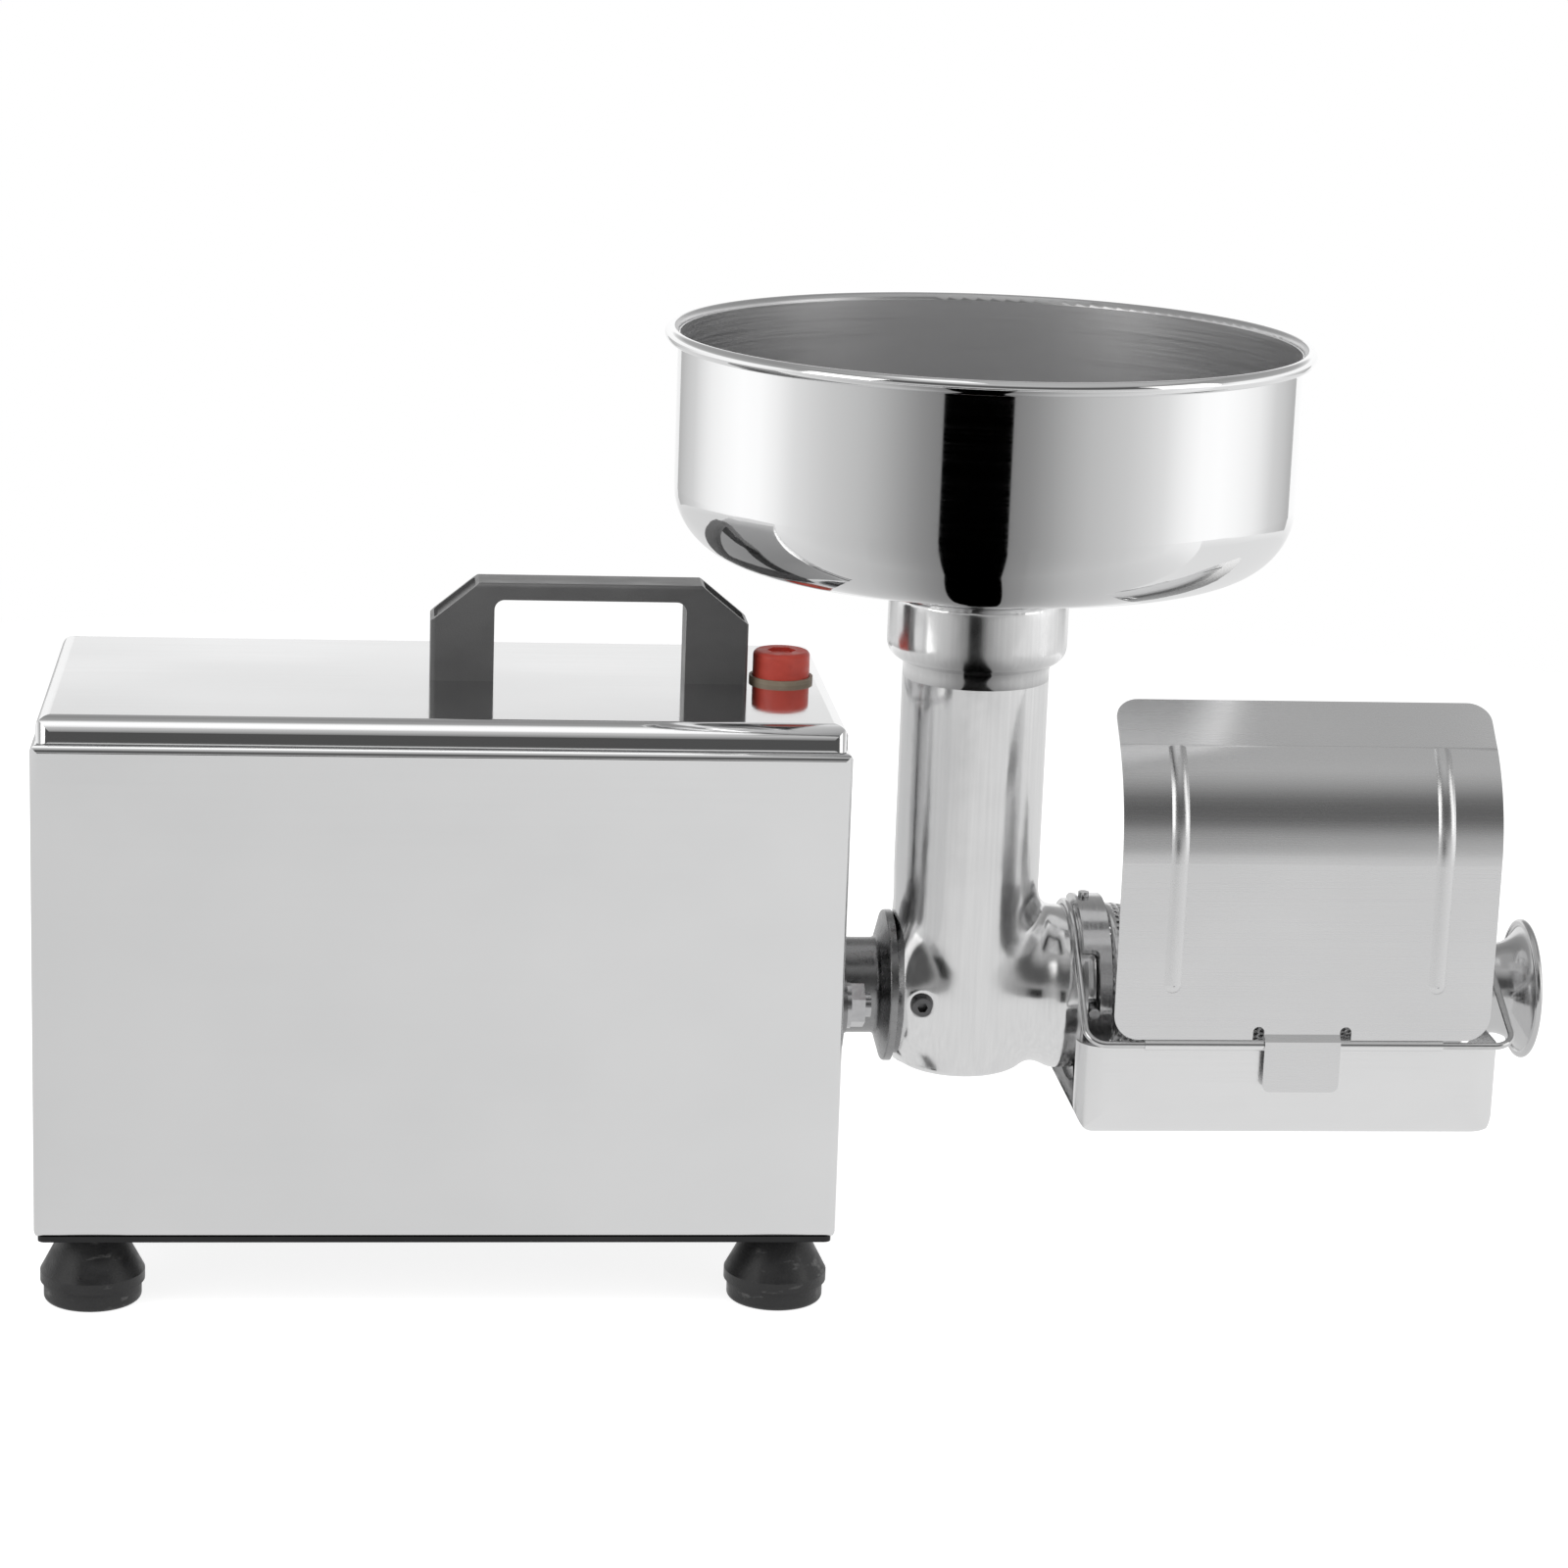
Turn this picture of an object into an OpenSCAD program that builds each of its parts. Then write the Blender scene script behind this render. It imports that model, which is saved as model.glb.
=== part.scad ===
/* [Drive housing] */
// Length of the housing along the axis of the head
housing_length = 337; // [330:1:380]
// Depth of the housing from front to back
housing_depth = 167; // [160:1:200]
// Height of the housing from the underside of its base to the top of its lid
housing_height = 225.5; // [220:0.5:260]
// Thickness of the folded sheet
sheet = 1.2; // [0.8:0.1:1.8]
// Height of the lid
lid_height = 11.5; // [9:0.5:16]
// Step of the lid in from the walls
lid_inset = 2; // [1:0.1:2.5]
// Radius of the lid's long folds
lid_fold = 6; // [4:0.5:8]
// Radius of the folds along the walls
wall_fold = 3.2; // [2.8:0.1:5]
// Thickness of the base plate
base_thickness = 2.5; // [1.5:0.1:4]
// Height of a rubber foot
foot_height = 32; // [25:1:45]
// Diameter of a rubber foot at its widest
foot_diameter = 44; // [36:1:50]
// Distance from the housing's sides to the middle of a foot
foot_inset = 23; // [23:1:32]

/* [Carry handle and switch] */
// Length of the carry handle
handle_length = 136; // [120:1:150]
// Height of the carry handle
handle_height = 42.5; // [38:0.5:60]
// Depth of the carry handle
handle_depth = 23; // [18:0.5:30]
// Length of each leg of the handle
handle_leg = 27; // [22:0.5:30]
// Thickness of the handle's grip bar
handle_bar = 7; // [5:0.5:10]
// Gap between the handle and the ring round the switch
handle_clearance = 1.7; // [1:0.1:20]
// Distance that the handle and the switch stand behind the middle of the lid
handle_set_back = 7; // [0:1:20]
// Diameter of the switch cap
switch_diameter = 24.6; // [20:0.2:28]
// Height of the switch cap above the lid
switch_height = 13; // [8:0.5:18]
// Travel of the switch cap
switch_travel = 3; // [2:0.5:4]
// Distance from the head end of the housing to the middle of the switch
switch_offset = 22.5; // [22.5:0.5:26]

/* [Gear train] */
// Teeth on the motor pinion
motor_pinion_teeth = 14; // [14:1:16]
// Teeth on the first-stage gear
stage_gear_teeth = 56; // [54:1:58]
// Teeth on the second-stage pinion
stage_pinion_teeth = 15; // [14:1:16]
// Teeth on the output gear
output_gear_teeth = 45; // [43:1:46]
// Tooth module of the first stage
gear_module = 1.5; // [1.4:0.05:1.55]
// Play between meshing teeth at the pitch circle
gear_backlash = 0.3; // [0.2:0.05:0.4]
// Width of the first-stage gears
stage_face = 10; // [8:0.5:12]
// Width of the second-stage gears
output_face = 12; // [10:0.5:14]
// Diameter of the motor
motor_diameter = 104; // [96:1:106]
// Length of the motor's casing between its end bells
motor_length = 100; // [90:1:110]
// Diameter of the output shaft
output_shaft_diameter = 20; // [18:1:22]

/* [Head] */
// Height of the head's axis above the surface that the feet stand on
axis_height = 122; // [118:1:128]
// Outer diameter of the barrel and of the feed tube
barrel_diameter = 63; // [61:1:66]
// Bore of the barrel
barrel_bore = 55; // [53:0.5:56]
// Distance from the housing to the middle of the feed tube
tube_offset = 61.5; // [60:0.5:64]
// Height of the top of the feed tube's collar above the head's axis
collar_rise = 177; // [165:1:190]
// Outer diameter of the collar
collar_diameter = 78; // [76:1:82]
// Height of the collar
collar_height = 29.5; // [27:0.5:34]
// Diameter of the neck that joins the head to the housing
neck_diameter = 42; // [40:1:44]
// Diameter of the head's rear flange
rear_flange_diameter = 66.5; // [65:0.5:70]
// Width of the head's rear flange
rear_flange_width = 12.5; // [11:0.5:14]
// Distance from the housing to the head's rear flange
rear_flange_offset = 29.5; // [28:0.5:31]
// Diameter of the ring flange at the barrel's mouth
mouth_flange_diameter = 74; // [73.6:0.2:75]
// Distance from the housing to the far side of the mouth flange
mouth_flange_offset = 104.5; // [103:0.5:105]

/* [Hopper] */
// Outer diameter of the hopper pan's wall
pan_diameter = 266; // [240:1:290]
// Depth of the hopper pan from its rim to the foot of its wall
pan_depth = 94; // [80:1:110]
// Radius of the pan between its wall and its floor
pan_corner = 30; // [20:1:36]
// Fall of the pan's floor to its outlet, in degrees
pan_fall = 6; // [3:0.5:10]
// Radius of the rolled bead along the rim
pan_bead = 3; // [2:0.1:4]
// Thickness of the pan's sheet
pan_sheet = 1; // [0.8:0.1:1.4]
// Travel of the hopper when it is lifted out of the collar
hopper_lift = 60; // [30:1:80]

/* [Strainer] */
// Outer diameter of the strainer's bayonet collar
strainer_diameter = 82.4; // [82:0.2:84]
// Width of the bayonet collar
strainer_collar_width = 12; // [11:0.5:13]
// Distance from the housing to the near edge of the bayonet collar
strainer_offset = 110; // [109.5:0.5:111]
// Outer diameter of the screen at the bayonet collar
screen_large_diameter = 75; // [73:0.5:76]
// Outer diameter of the screen at the spout
screen_small_diameter = 40; // [38:0.5:42]
// Thickness of the screen
screen_sheet = 0.8; // [0.6:0.1:1.2]
// Length of the screen
screen_length = 166; // [150:1:180]
// Diameter of a hole in the screen
screen_hole = 3; // [2:0.2:4]
// Rows of holes along the screen
screen_rows = 8; // [4:1:10]
// Holes in each row
screen_holes_per_row = 12; // [8:1:16]
// Diameter of the spout at the middle of its rolled rim
spout_diameter = 58.4; // [54:0.2:62]
// Length of the spout past the screen
spout_length = 26; // [22:0.5:32]
// Turn of the strainer between locked and free, in degrees
bayonet_turn = 35; // [25:1:45]

/* [Tray and guard] */
// Length of the drip tray
tray_length = 184.5; // [176:0.5:186]
// Depth of the drip tray from front to back
tray_depth = 132; // [120:1:150]
// Height of the drip tray below its wire rails
tray_height = 43; // [40:1:60]
// Radius of the tray's upright corners
tray_corner = 12; // [8:1:20]
// Radius along the foot of the tray's walls
tray_fold = 13; // [8:1:16]
// Thickness of the tray and the guard
tray_sheet = 0.8; // [0.6:0.1:1.2]
// Distance of the wire rails below the head's axis
rail_drop = 6; // [4:0.5:9]
// Diameter of the frame's wire
wire = 3; // [2.5:0.1:3.4]
// Width of the splash guard
guard_width = 164; // [150:1:170]
// Height of the guard's upright wall
guard_wall = 78; // [60:1:90]
// Radius of the guard's bend
guard_bend = 62; // [50:1:70]
// Angle that the guard bends through, in degrees
guard_angle = 50; // [30:1:60]
// Length of the guard's flat upper lip
guard_lip = 23; // [15:1:30]
// Width of the guard's clip
clip_width = 33; // [25:1:50]
/* [Hidden] */
$fa = 6;
$fs = 0.6;
// Overrun of every cut past the face that it opens
over = 1;
// Running gap between a turning piece and what carries it
running = 0.05;
// Loose gap between pieces that move past each other
loose = 0.3;
// Pressure angle of the teeth
pressure = 20;
// Height of a tooth above and below its pitch circle, in modules
addendum_share = 0.9;
dedendum_share = 1.25;

// Housing levels and places
base_z = foot_height;
shell_z = base_z + base_thickness;
lid_z = base_z + housing_height - lid_height;
top_z = base_z + housing_height;
wall_lip = 10;
base_inset = 1.5;
vent_length = 50;
vent_width = 5;
vent_pitch = 11;
vents = 9;

// Feet and their screws
foot_top_diameter = 24;
foot_ring_height = 8.5;
foot_ring_step = 1.4;
foot_band_height = 4.5;
foot_round = 2;
foot_recess = 14;
foot_recess_depth = 14;
foot_screw_diameter = 5;
screw_head_diameter = 10;
screw_head_height = 3;
foot_nut_height = 4;
foot_nut_width = 8;

// Handle shape
handle_slope = 20.4;
handle_shoulder = 16.6;
handle_corner = 4.3;
handle_round = 2.5;
handle_rim = 2;
handle_recess = 1.5;
handle_screw_diameter = 5;
handle_screw_grip = 18;
handle_opening = handle_length - 2 * handle_leg;

// Switch: cap, ring and the body below the lid
switch_ring_width = 1.2;
switch_ring_height = 2;
switch_skirt = 6;
switch_round = 2;
switch_hex = 11;
switch_hex_depth = 1.4;
switch_wall = 1.8;
switch_floor = 3;
switch_block = 22;
switch_block_height = 8;
switch_radius = switch_diameter / 2;
switch_hole_radius = switch_radius + loose;
switch_relief_radius = switch_hole_radius + switch_wall + 2 * loose;
handle_offset = switch_offset + switch_hole_radius + switch_ring_width + handle_clearance
    + handle_length / 2;

// Cable gland on the back wall
gland_inset = 37;
gland_offset = housing_length - gland_inset;
gland_height = 72;
gland_thread = 16;
gland_nut = 22;
gland_nut_height = 5;
gland_dome_height = 9;
gland_bore = 8;

// Spout and strainer places, measured from the housing
bead_radius = 1.8;
spout_sheet = 1;
spout_neck = 12;
screen_start = strainer_offset + strainer_collar_width;
screen_end = screen_start + screen_length;
rim_offset = screen_end + spout_length;
head_reach = rim_offset + bead_radius;
face_x = (housing_length - head_reach) / 2;
housing_mid_x = face_x - housing_length / 2;

// Head levels and small sizes
collar_z = axis_height + collar_rise;
barrel_radius = barrel_diameter / 2;
bore_radius = barrel_bore / 2;
tube_bore_radius = bore_radius - loose;
tube_radius = barrel_radius + loose;
tube_foot = 35;
tube_foot_round = 10;
socket_radius = 33;
socket_depth = 24;
edge_round = 1.2;
rear_wall = 8.5;
mouth_flange_width = 7;
mouth_ring_step = 1.3;
mouth_fillet = 5;
mouth_lip = 4.8;
mouth_end = screen_start - mouth_lip;
mouth_radius = mouth_flange_diameter / 2 - mouth_ring_step;
boss_offset = 40;
boss_radius = 8;
boss_reach = 35;
lock_screw_diameter = 8;
lock_screw_key = 4;
lock_screw_length = 9;
dowel_offset = 90;
dowel_radius = 4.5;
dowel_reach = 33.5;
dowel_angle = 40;

// Drive neck, studs and nuts
neck_plate = 6.5;
neck_plate_diameter = 68;
neck_ear_width = 24;
neck_straight = 15.5;
neck_slope = 60;
stud_diameter = 10;
stud_grip = 8;
stud_end = 3;
washer_diameter = 20;
washer_thickness = 2;
nut_width = 17;
nut_height = 6;
nut_circle = 2 / sqrt(3);
stud_offset = (neck_diameter + washer_diameter) / 2 + loose;

// Gear train places, measured from the housing
wall_inside = -sheet;
cover_thickness = 10;
case_floor = 10;
case_wall = 9;
gear_gap = 4;
case_clearance = 3;
bearing_width = 8;
bearing_ring = 7;
layshaft_diameter = 14;
motor_shaft_diameter = 14;
cover_inside = wall_inside - cover_thickness;
output_gear_near = cover_inside - gear_gap;
output_gear_far = output_gear_near - output_face;
stage_gear_near = output_gear_far - gear_gap;
stage_gear_far = stage_gear_near - stage_face;
case_inside = stage_gear_far - gear_gap;
case_back = case_inside - case_floor;
gear_distance = gear_module * (motor_pinion_teeth + stage_gear_teeth) / 2;
output_module = 2 * gear_distance / (stage_pinion_teeth + output_gear_teeth);
case_radius = gear_module * (stage_gear_teeth / 2 + 1) + case_clearance;
case_bolt_diameter = 4;
case_bolt_head = 7;
case_bolt_head_height = 4;
case_bolt_circle = case_radius + case_wall / 2;
web_holes = 5;
web_hole_share = 0.3;

// Shafts: ends and their journals
output_shaft_radius = output_shaft_diameter / 2;
output_ring_radius = output_shaft_radius + bearing_ring;
layshaft_radius = layshaft_diameter / 2;
motor_shaft_radius = motor_shaft_diameter / 2;
shaft_end = rear_flange_offset - loose;
tang_width = 10;
tang_length = 12;
socket_gap = 0.1;

// Motor places, measured from the housing
bell_width = 14;
casing_wall = 3;
motor_near = case_back - bell_width;
motor_far = motor_near - motor_length;
motor_end = motor_far - bell_width;
core_length = 70;
air_gap = 0.5;
rotor_radius = 31;
stator_slots = 12;
slot_width = 6;
slot_depth = 9;
fan_gap = 3;
fan_width = 14;
fan_hub = 12;
fan_disc = 2;
fan_blade = 2;
fan_blades = 8;
fan_radius = 42;
fan_cover_wall = 1.2;
fan_cover_radius = 50;
fan_cover_depth = 24;
grille_holes = 8;
grille_hole = 12;
grille_circle = 32;
bracket_length = 70;
bracket_width = 92;
bracket_rise = 58;
bracket_wall = 12;
bracket_foot = 4;
capacitor_diameter = 35;
capacitor_length = 70;
capacitor_inset = 52;
capacitor_offset = housing_length - capacitor_inset;
capacitor_side = 35;
clip_band = 14;
clip_sheet = 1.5;
clip_tab = 14;

// Hopper levels
hopper_ring_radius = 34.5;
hopper_ring_height = 3.5;
hopper_neck_height = 3.1;
spigot_wall = 1.5;
spigot_radius = socket_radius - loose;
spigot_bore_radius = spigot_radius - spigot_wall;
outlet_z = collar_z + hopper_ring_height + hopper_neck_height;
pan_radius = pan_diameter / 2;
pan_corner_z = outlet_z + running + pan_corner * cos(pan_fall)
    + (pan_radius - pan_corner * (1 - sin(pan_fall)) - spigot_bore_radius) * tan(pan_fall);
pan_rim_z = pan_corner_z - pan_corner + pan_depth;

// Auger
auger_core_radius = 12;
journal_radius = 11;
journal_length = 13;
auger_nose = 4;
flight_clearance = 1.5;
flight_root = 6;
flight_tip = 2.6;
flight_pitch = 36;
flight_steps = 24;
flight_start = rear_flange_offset + journal_length + flight_root;
flight_end = screen_end - auger_nose - 2 * flight_root;

// Bayonet
pin_set_back = 4;
pin_radius = 2.4;
pin_root = 31;
pin_proud = 2;
pin_offset = strainer_offset + pin_set_back;
collar_wall = 5.2;
strainer_radius = strainer_diameter / 2;

// Wire frame
frame_near = 107;
frame_far = 294;
frame_bend = 9;
arch_steps = 7;
wire_sides = 12;
rail_z = axis_height - rail_drop;
rail_gap = 1.5;
rail_side = tray_depth / 2 + rail_gap;

// Drip tray
tray_near = 104.5;
tray_z = rail_z - tray_height;
hem_length = 130;
hem_sheet = 0.8;
tray_rear_drop = 40;
tray_front_notch = 25;

// Splash guard
guard_near = 118;
guard_corner = 11;
guard_top_corner = 10;
guard_notch = 5;
guard_notch_height = 6;
rib_inset = 24.5;
rib_width = 7.5;
rib_rise = 1.5;
rib_share = 0.96;
clip_length = 20;
clip_corner = 3;
hem_radius = wire / 2 + running + hem_sheet;
guard_z = rail_z + hem_radius + running;

// Points of an arc about a centre, from one angle to another
function arc(centre, radius, from, to, steps = 6) =
    [for (i = [0:steps]) let (a = from + (to - from) * i / steps)
        centre + radius * [cos(a), sin(a)]];

// Half the angle that a tooth takes up at a radius; its flanks are involutes
function involute(angle) = tan(angle) * 180 / PI - angle;
function tooth_half_angle(pitch_radius, thickness, radius) =
    let (base = pitch_radius * cos(pressure))
    thickness / pitch_radius * 90 / PI + involute(pressure)
        - involute(acos(min(1, base / radius)));

// Outline of a gear with a tooth in the middle of its +X side
function gear_points(teeth, size, steps = 3) =
    let (pitch_radius = size * teeth / 2,
        base = pitch_radius * cos(pressure),
        tip = pitch_radius + addendum_share * size,
        root = pitch_radius - dedendum_share * size,
        start = max(base, root),
        thickness = (PI * size - gear_backlash) / 2,
        radii = concat(root < start ? [root] : [],
            [for (i = [0:steps]) start + (tip - start) * i / steps]))
    [for (t = [0:teeth - 1]) each concat(
        [for (r = radii) let (a = 360 * t / teeth - tooth_half_angle(pitch_radius,
            thickness, max(r, start))) r * [cos(a), sin(a)]],
        [for (i = [len(radii) - 1:-1:0]) let (r = radii[i],
            a = 360 * t / teeth + tooth_half_angle(pitch_radius, thickness,
            max(r, start))) r * [cos(a), sin(a)]])];

// Children turned so that their +Z runs along the head's axis, away from the housing
module along_head(from = 0) {
    translate([face_x + from, 0, axis_height]) rotate([0, 90, 0]) children();
}

// The same, about the layshaft above the axis
module along_layshaft(from = 0) {
    translate([0, 0, gear_distance]) along_head(from) children();
}

module on_housing() {
    translate([housing_mid_x, 0, 0]) children();
}

module at_foot(side, end) {
    translate([housing_mid_x + end * (housing_length / 2 - foot_inset),
        side * (housing_depth / 2 - foot_inset), 0]) children();
}

module at_feet() {
    for (side = [-1, 1], end = [-1, 1])
        at_foot(side, end) children();
}

module at_handle() {
    translate([face_x - handle_offset, handle_set_back, top_z]) children();
}

module at_handle_legs() {
    at_handle() for (side = [-1, 1])
        translate([side * (handle_length - handle_leg) / 2, 0, 0]) children();
}

module at_switch(from = 0) {
    translate([face_x - switch_offset, handle_set_back, top_z + from]) children();
}

// Children turned so that their +Z points out of the back wall
module at_gland() {
    translate([face_x - gland_offset, housing_depth / 2, gland_height])
        rotate([-90, 0, 0]) children();
}

module at_studs() {
    for (side = [-1, 1])
        translate([0, side * stud_offset, 0]) children();
}

module at_case_bolts() {
    for (angle = [-135, -90, -45, 45, 90, 135])
        translate([abs(angle) > 90 ? -gear_distance : 0, 0, 0])
            rotate([0, 0, angle]) translate([case_bolt_circle, 0, 0]) children();
}

module ring(outer, inner, height) {
    difference() {
        cylinder(r = outer, h = height);
        translate([0, 0, -over]) cylinder(r = inner, h = height + 2 * over);
    }
}

module hexagon(width, height) {
    cylinder(d = width * nut_circle, h = height, $fn = 6);
}

module rounded_plan(length, depth, radius) {
    square([length - 2 * radius, depth], center = true);
    square([length, depth - 2 * radius], center = true);
    for (sx = [-1, 1], sy = [-1, 1])
        translate([sx * (length / 2 - radius), sy * (depth / 2 - radius)]) circle(r = radius);
}

// Upright outline with round upper and lower corners
module wall_outline(width, low, high, top_radius, foot_radius) {
    translate([-width / 2, low + foot_radius])
        square([width, high - low - top_radius - foot_radius]);
    translate([top_radius - width / 2, low + foot_radius])
        square([width - 2 * top_radius, high - low - foot_radius]);
    translate([foot_radius - width / 2, low])
        square([width - 2 * foot_radius, high - low - top_radius]);
    for (side = [-1, 1]) {
        if (top_radius > 0)
            translate([side * (width / 2 - top_radius), high - top_radius])
                circle(r = top_radius);
        if (foot_radius > 0)
            translate([side * (width / 2 - foot_radius), low + foot_radius])
                circle(r = foot_radius);
    }
}

// Block folded from sheet: round upright corners, round upper and lower edges, mitred ends
module folded_block(length, depth, low, high, corner, top_radius, foot_radius) {
    intersection() {
        translate([0, 0, low]) linear_extrude(height = high - low)
            rounded_plan(length, depth, corner);
        rotate([90, 0, 0]) linear_extrude(height = depth + 2 * over, center = true)
            wall_outline(length, low, high, top_radius, foot_radius);
        rotate([90, 0, 90]) linear_extrude(height = length + 2 * over, center = true)
            wall_outline(depth, low, high, top_radius, foot_radius);
    }
}

// Band of sheet bent about the origin, from the +X side through an angle
module bent_band(radius, thickness, angle) {
    reach = 2 * radius;
    intersection() {
        difference() {
            circle(r = radius);
            circle(r = radius - thickness);
        }
        polygon([[0, 0], [reach, 0], [reach, reach * tan(angle / 2)],
            reach * [cos(angle), sin(angle)]]);
    }
}

module housing_shell() {
    lip = wall_lip + sheet;
    color("gainsboro") difference() {
        on_housing() difference() {
            folded_block(housing_length, housing_depth, shell_z, lid_z,
                wall_fold, wall_fold, wall_fold);
            folded_block(housing_length - 2 * sheet, housing_depth - 2 * sheet,
                shell_z + sheet, lid_z - sheet,
                wall_fold - sheet, wall_fold - sheet, wall_fold - sheet);
            linear_extrude(height = lid_z + over)
                rounded_plan(housing_length - 2 * lip, housing_depth - 2 * lip, wall_fold);
        }
        along_head(-sheet - over) {
            cylinder(r = output_ring_radius, h = sheet + 2 * over);
            at_studs() cylinder(d = stud_diameter + 2 * loose, h = sheet + 2 * over);
        }
        at_gland() cylinder(d = gland_thread, h = 2 * (sheet + over), center = true);
        at_switch(-lid_height - sheet - over)
            cylinder(r = switch_relief_radius, h = sheet + 2 * over);
    }
}

module lid() {
    length = housing_length - 2 * lid_inset;
    depth = housing_depth - 2 * lid_inset;
    fold = lid_fold - sheet;
    color("whitesmoke") difference() {
        on_housing() difference() {
            folded_block(length, depth, lid_z, top_z, lid_fold, lid_fold, sheet);
            folded_block(length - 2 * sheet, depth - 2 * sheet, lid_z + sheet,
                top_z - sheet, fold, fold, 0);
            linear_extrude(height = lid_z + 2 * sheet)
                rounded_plan(length - 2 * wall_lip, depth - 2 * wall_lip, lid_fold);
        }
        at_handle_legs() cylinder(d = handle_screw_diameter + 2 * loose,
            h = 2 * (sheet + over), center = true);
        at_switch() cylinder(r = switch_hole_radius, h = 2 * (sheet + over), center = true);
        at_switch(-lid_height - over)
            cylinder(r = switch_relief_radius, h = lid_height + over - 2 * sheet);
    }
}

module base_plate() {
    color("darkgray") difference() {
        on_housing() translate([0, 0, base_z]) linear_extrude(height = base_thickness)
            rounded_plan(housing_length - 2 * base_inset, housing_depth - 2 * base_inset,
                wall_fold);
        at_feet() cylinder(d = foot_screw_diameter + 2 * loose, h = shell_z + over);
        for (i = [0:vents - 1])
            translate([face_x + (motor_near + motor_far) / 2 + (i - (vents - 1) / 2) * vent_pitch,
                0, base_z - over])
                linear_extrude(height = base_thickness + 2 * over)
                    rounded_plan(vent_width, vent_length, vent_width * 0.49);
    }
}

// Moulded rubber foot with a recess below for its screw
module foot(side, end) {
    ring_radius = foot_diameter / 2 - foot_ring_step;
    color("dimgray") at_foot(side, end) difference() {
        rotate_extrude() polygon(concat([[0, 0]],
            arc([ring_radius - foot_round, foot_round], foot_round, -90, 0),
            [[ring_radius, foot_ring_height], [foot_diameter / 2, foot_ring_height],
            [foot_diameter / 2, foot_ring_height + foot_band_height],
            [foot_top_diameter / 2, foot_height], [0, foot_height]]));
        translate([0, 0, -over]) cylinder(d = foot_recess, h = foot_recess_depth + over);
        cylinder(d = foot_screw_diameter + 2 * loose, h = foot_height + over);
    }
}

module foot_front_left() {
    foot(-1, -1);
}

module foot_front_right() {
    foot(-1, 1);
}

module foot_rear_left() {
    foot(1, -1);
}

module foot_rear_right() {
    foot(1, 1);
}

module foot_screws() {
    color("silver") at_feet() {
        translate([0, 0, foot_recess_depth - screw_head_height])
            cylinder(d = screw_head_diameter, h = screw_head_height);
        translate([0, 0, foot_recess_depth - screw_head_height])
            cylinder(d = foot_screw_diameter,
                h = shell_z + foot_nut_height + screw_head_height - foot_recess_depth);
        translate([0, 0, shell_z]) hexagon(foot_nut_width, foot_nut_height);
    }
}

// Moulded handle: sloped shoulders with a shallow recess, open below the grip bar
module carry_handle() {
    slope_length = norm([handle_slope, handle_shoulder]);
    half = handle_length / 2;
    shoulder_z = handle_height - handle_shoulder;
    color("black") at_handle() difference() {
        intersection() {
            rotate([90, 0, 0]) linear_extrude(height = handle_depth, center = true)
                difference() {
                    polygon([[-half, 0], [half, 0], [half, shoulder_z],
                        [half - handle_slope, handle_height],
                        [handle_slope - half, handle_height], [-half, shoulder_z]]);
                    wall_outline(handle_opening, -over, handle_height - handle_bar,
                        handle_corner, 0);
                }
            linear_extrude(height = handle_height)
                rounded_plan(handle_length, handle_depth, handle_round);
            rotate([90, 0, 90]) linear_extrude(height = handle_length, center = true)
                wall_outline(handle_depth, 0, handle_height, handle_round, 0);
        }
        for (side = [-1, 1])
            translate([side * (half - handle_slope / 2), 0, handle_height - handle_shoulder / 2])
                rotate([0, side * atan2(handle_shoulder, handle_slope), 0])
                linear_extrude(height = 2 * handle_recess, center = true)
                    rounded_plan(slope_length - 2 * handle_rim, handle_depth - 2 * handle_rim,
                        handle_round);
        for (side = [-1, 1])
            translate([side * (handle_length - handle_leg) / 2, 0, -over])
                cylinder(d = handle_screw_diameter + 2 * running,
                    h = handle_screw_grip + 2 * over);
    }
}

module handle_screws() {
    color("silver") at_handle_legs() {
        translate([0, 0, -sheet - screw_head_height])
            cylinder(d = screw_head_diameter, h = screw_head_height);
        translate([0, 0, -sheet - screw_head_height])
            cylinder(d = handle_screw_diameter,
                h = handle_screw_grip + sheet + screw_head_height);
    }
}

// Switch below the lid, with the well that guides the cap
module switch_body() {
    well = switch_skirt + switch_travel + loose - sheet;
    color("darkslategray") {
        at_switch(-sheet - well) ring(switch_hole_radius + switch_wall, switch_hole_radius, well);
        at_switch(-sheet - well - switch_floor)
            cylinder(r = switch_hole_radius + switch_wall, h = switch_floor);
        at_switch(-sheet - well - switch_floor - switch_block_height)
            linear_extrude(height = switch_block_height)
                rounded_plan(switch_block, switch_block, switch_round);
    }
}

module switch_collar() {
    color("darkkhaki") at_switch()
        ring(switch_hole_radius + switch_ring_width, switch_hole_radius, switch_ring_height);
}

module switch_cap() {
    color("firebrick") difference() {
        at_switch(-switch_skirt) rotate_extrude() polygon(concat([[0, 0], [switch_radius, 0]],
            arc([switch_radius - switch_round, switch_skirt + switch_height - switch_round],
                switch_round, 0, 90),
            [[0, switch_skirt + switch_height]]));
        at_switch(switch_height - switch_hex_depth) hexagon(switch_hex, switch_hex_depth + over);
    }
}

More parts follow.
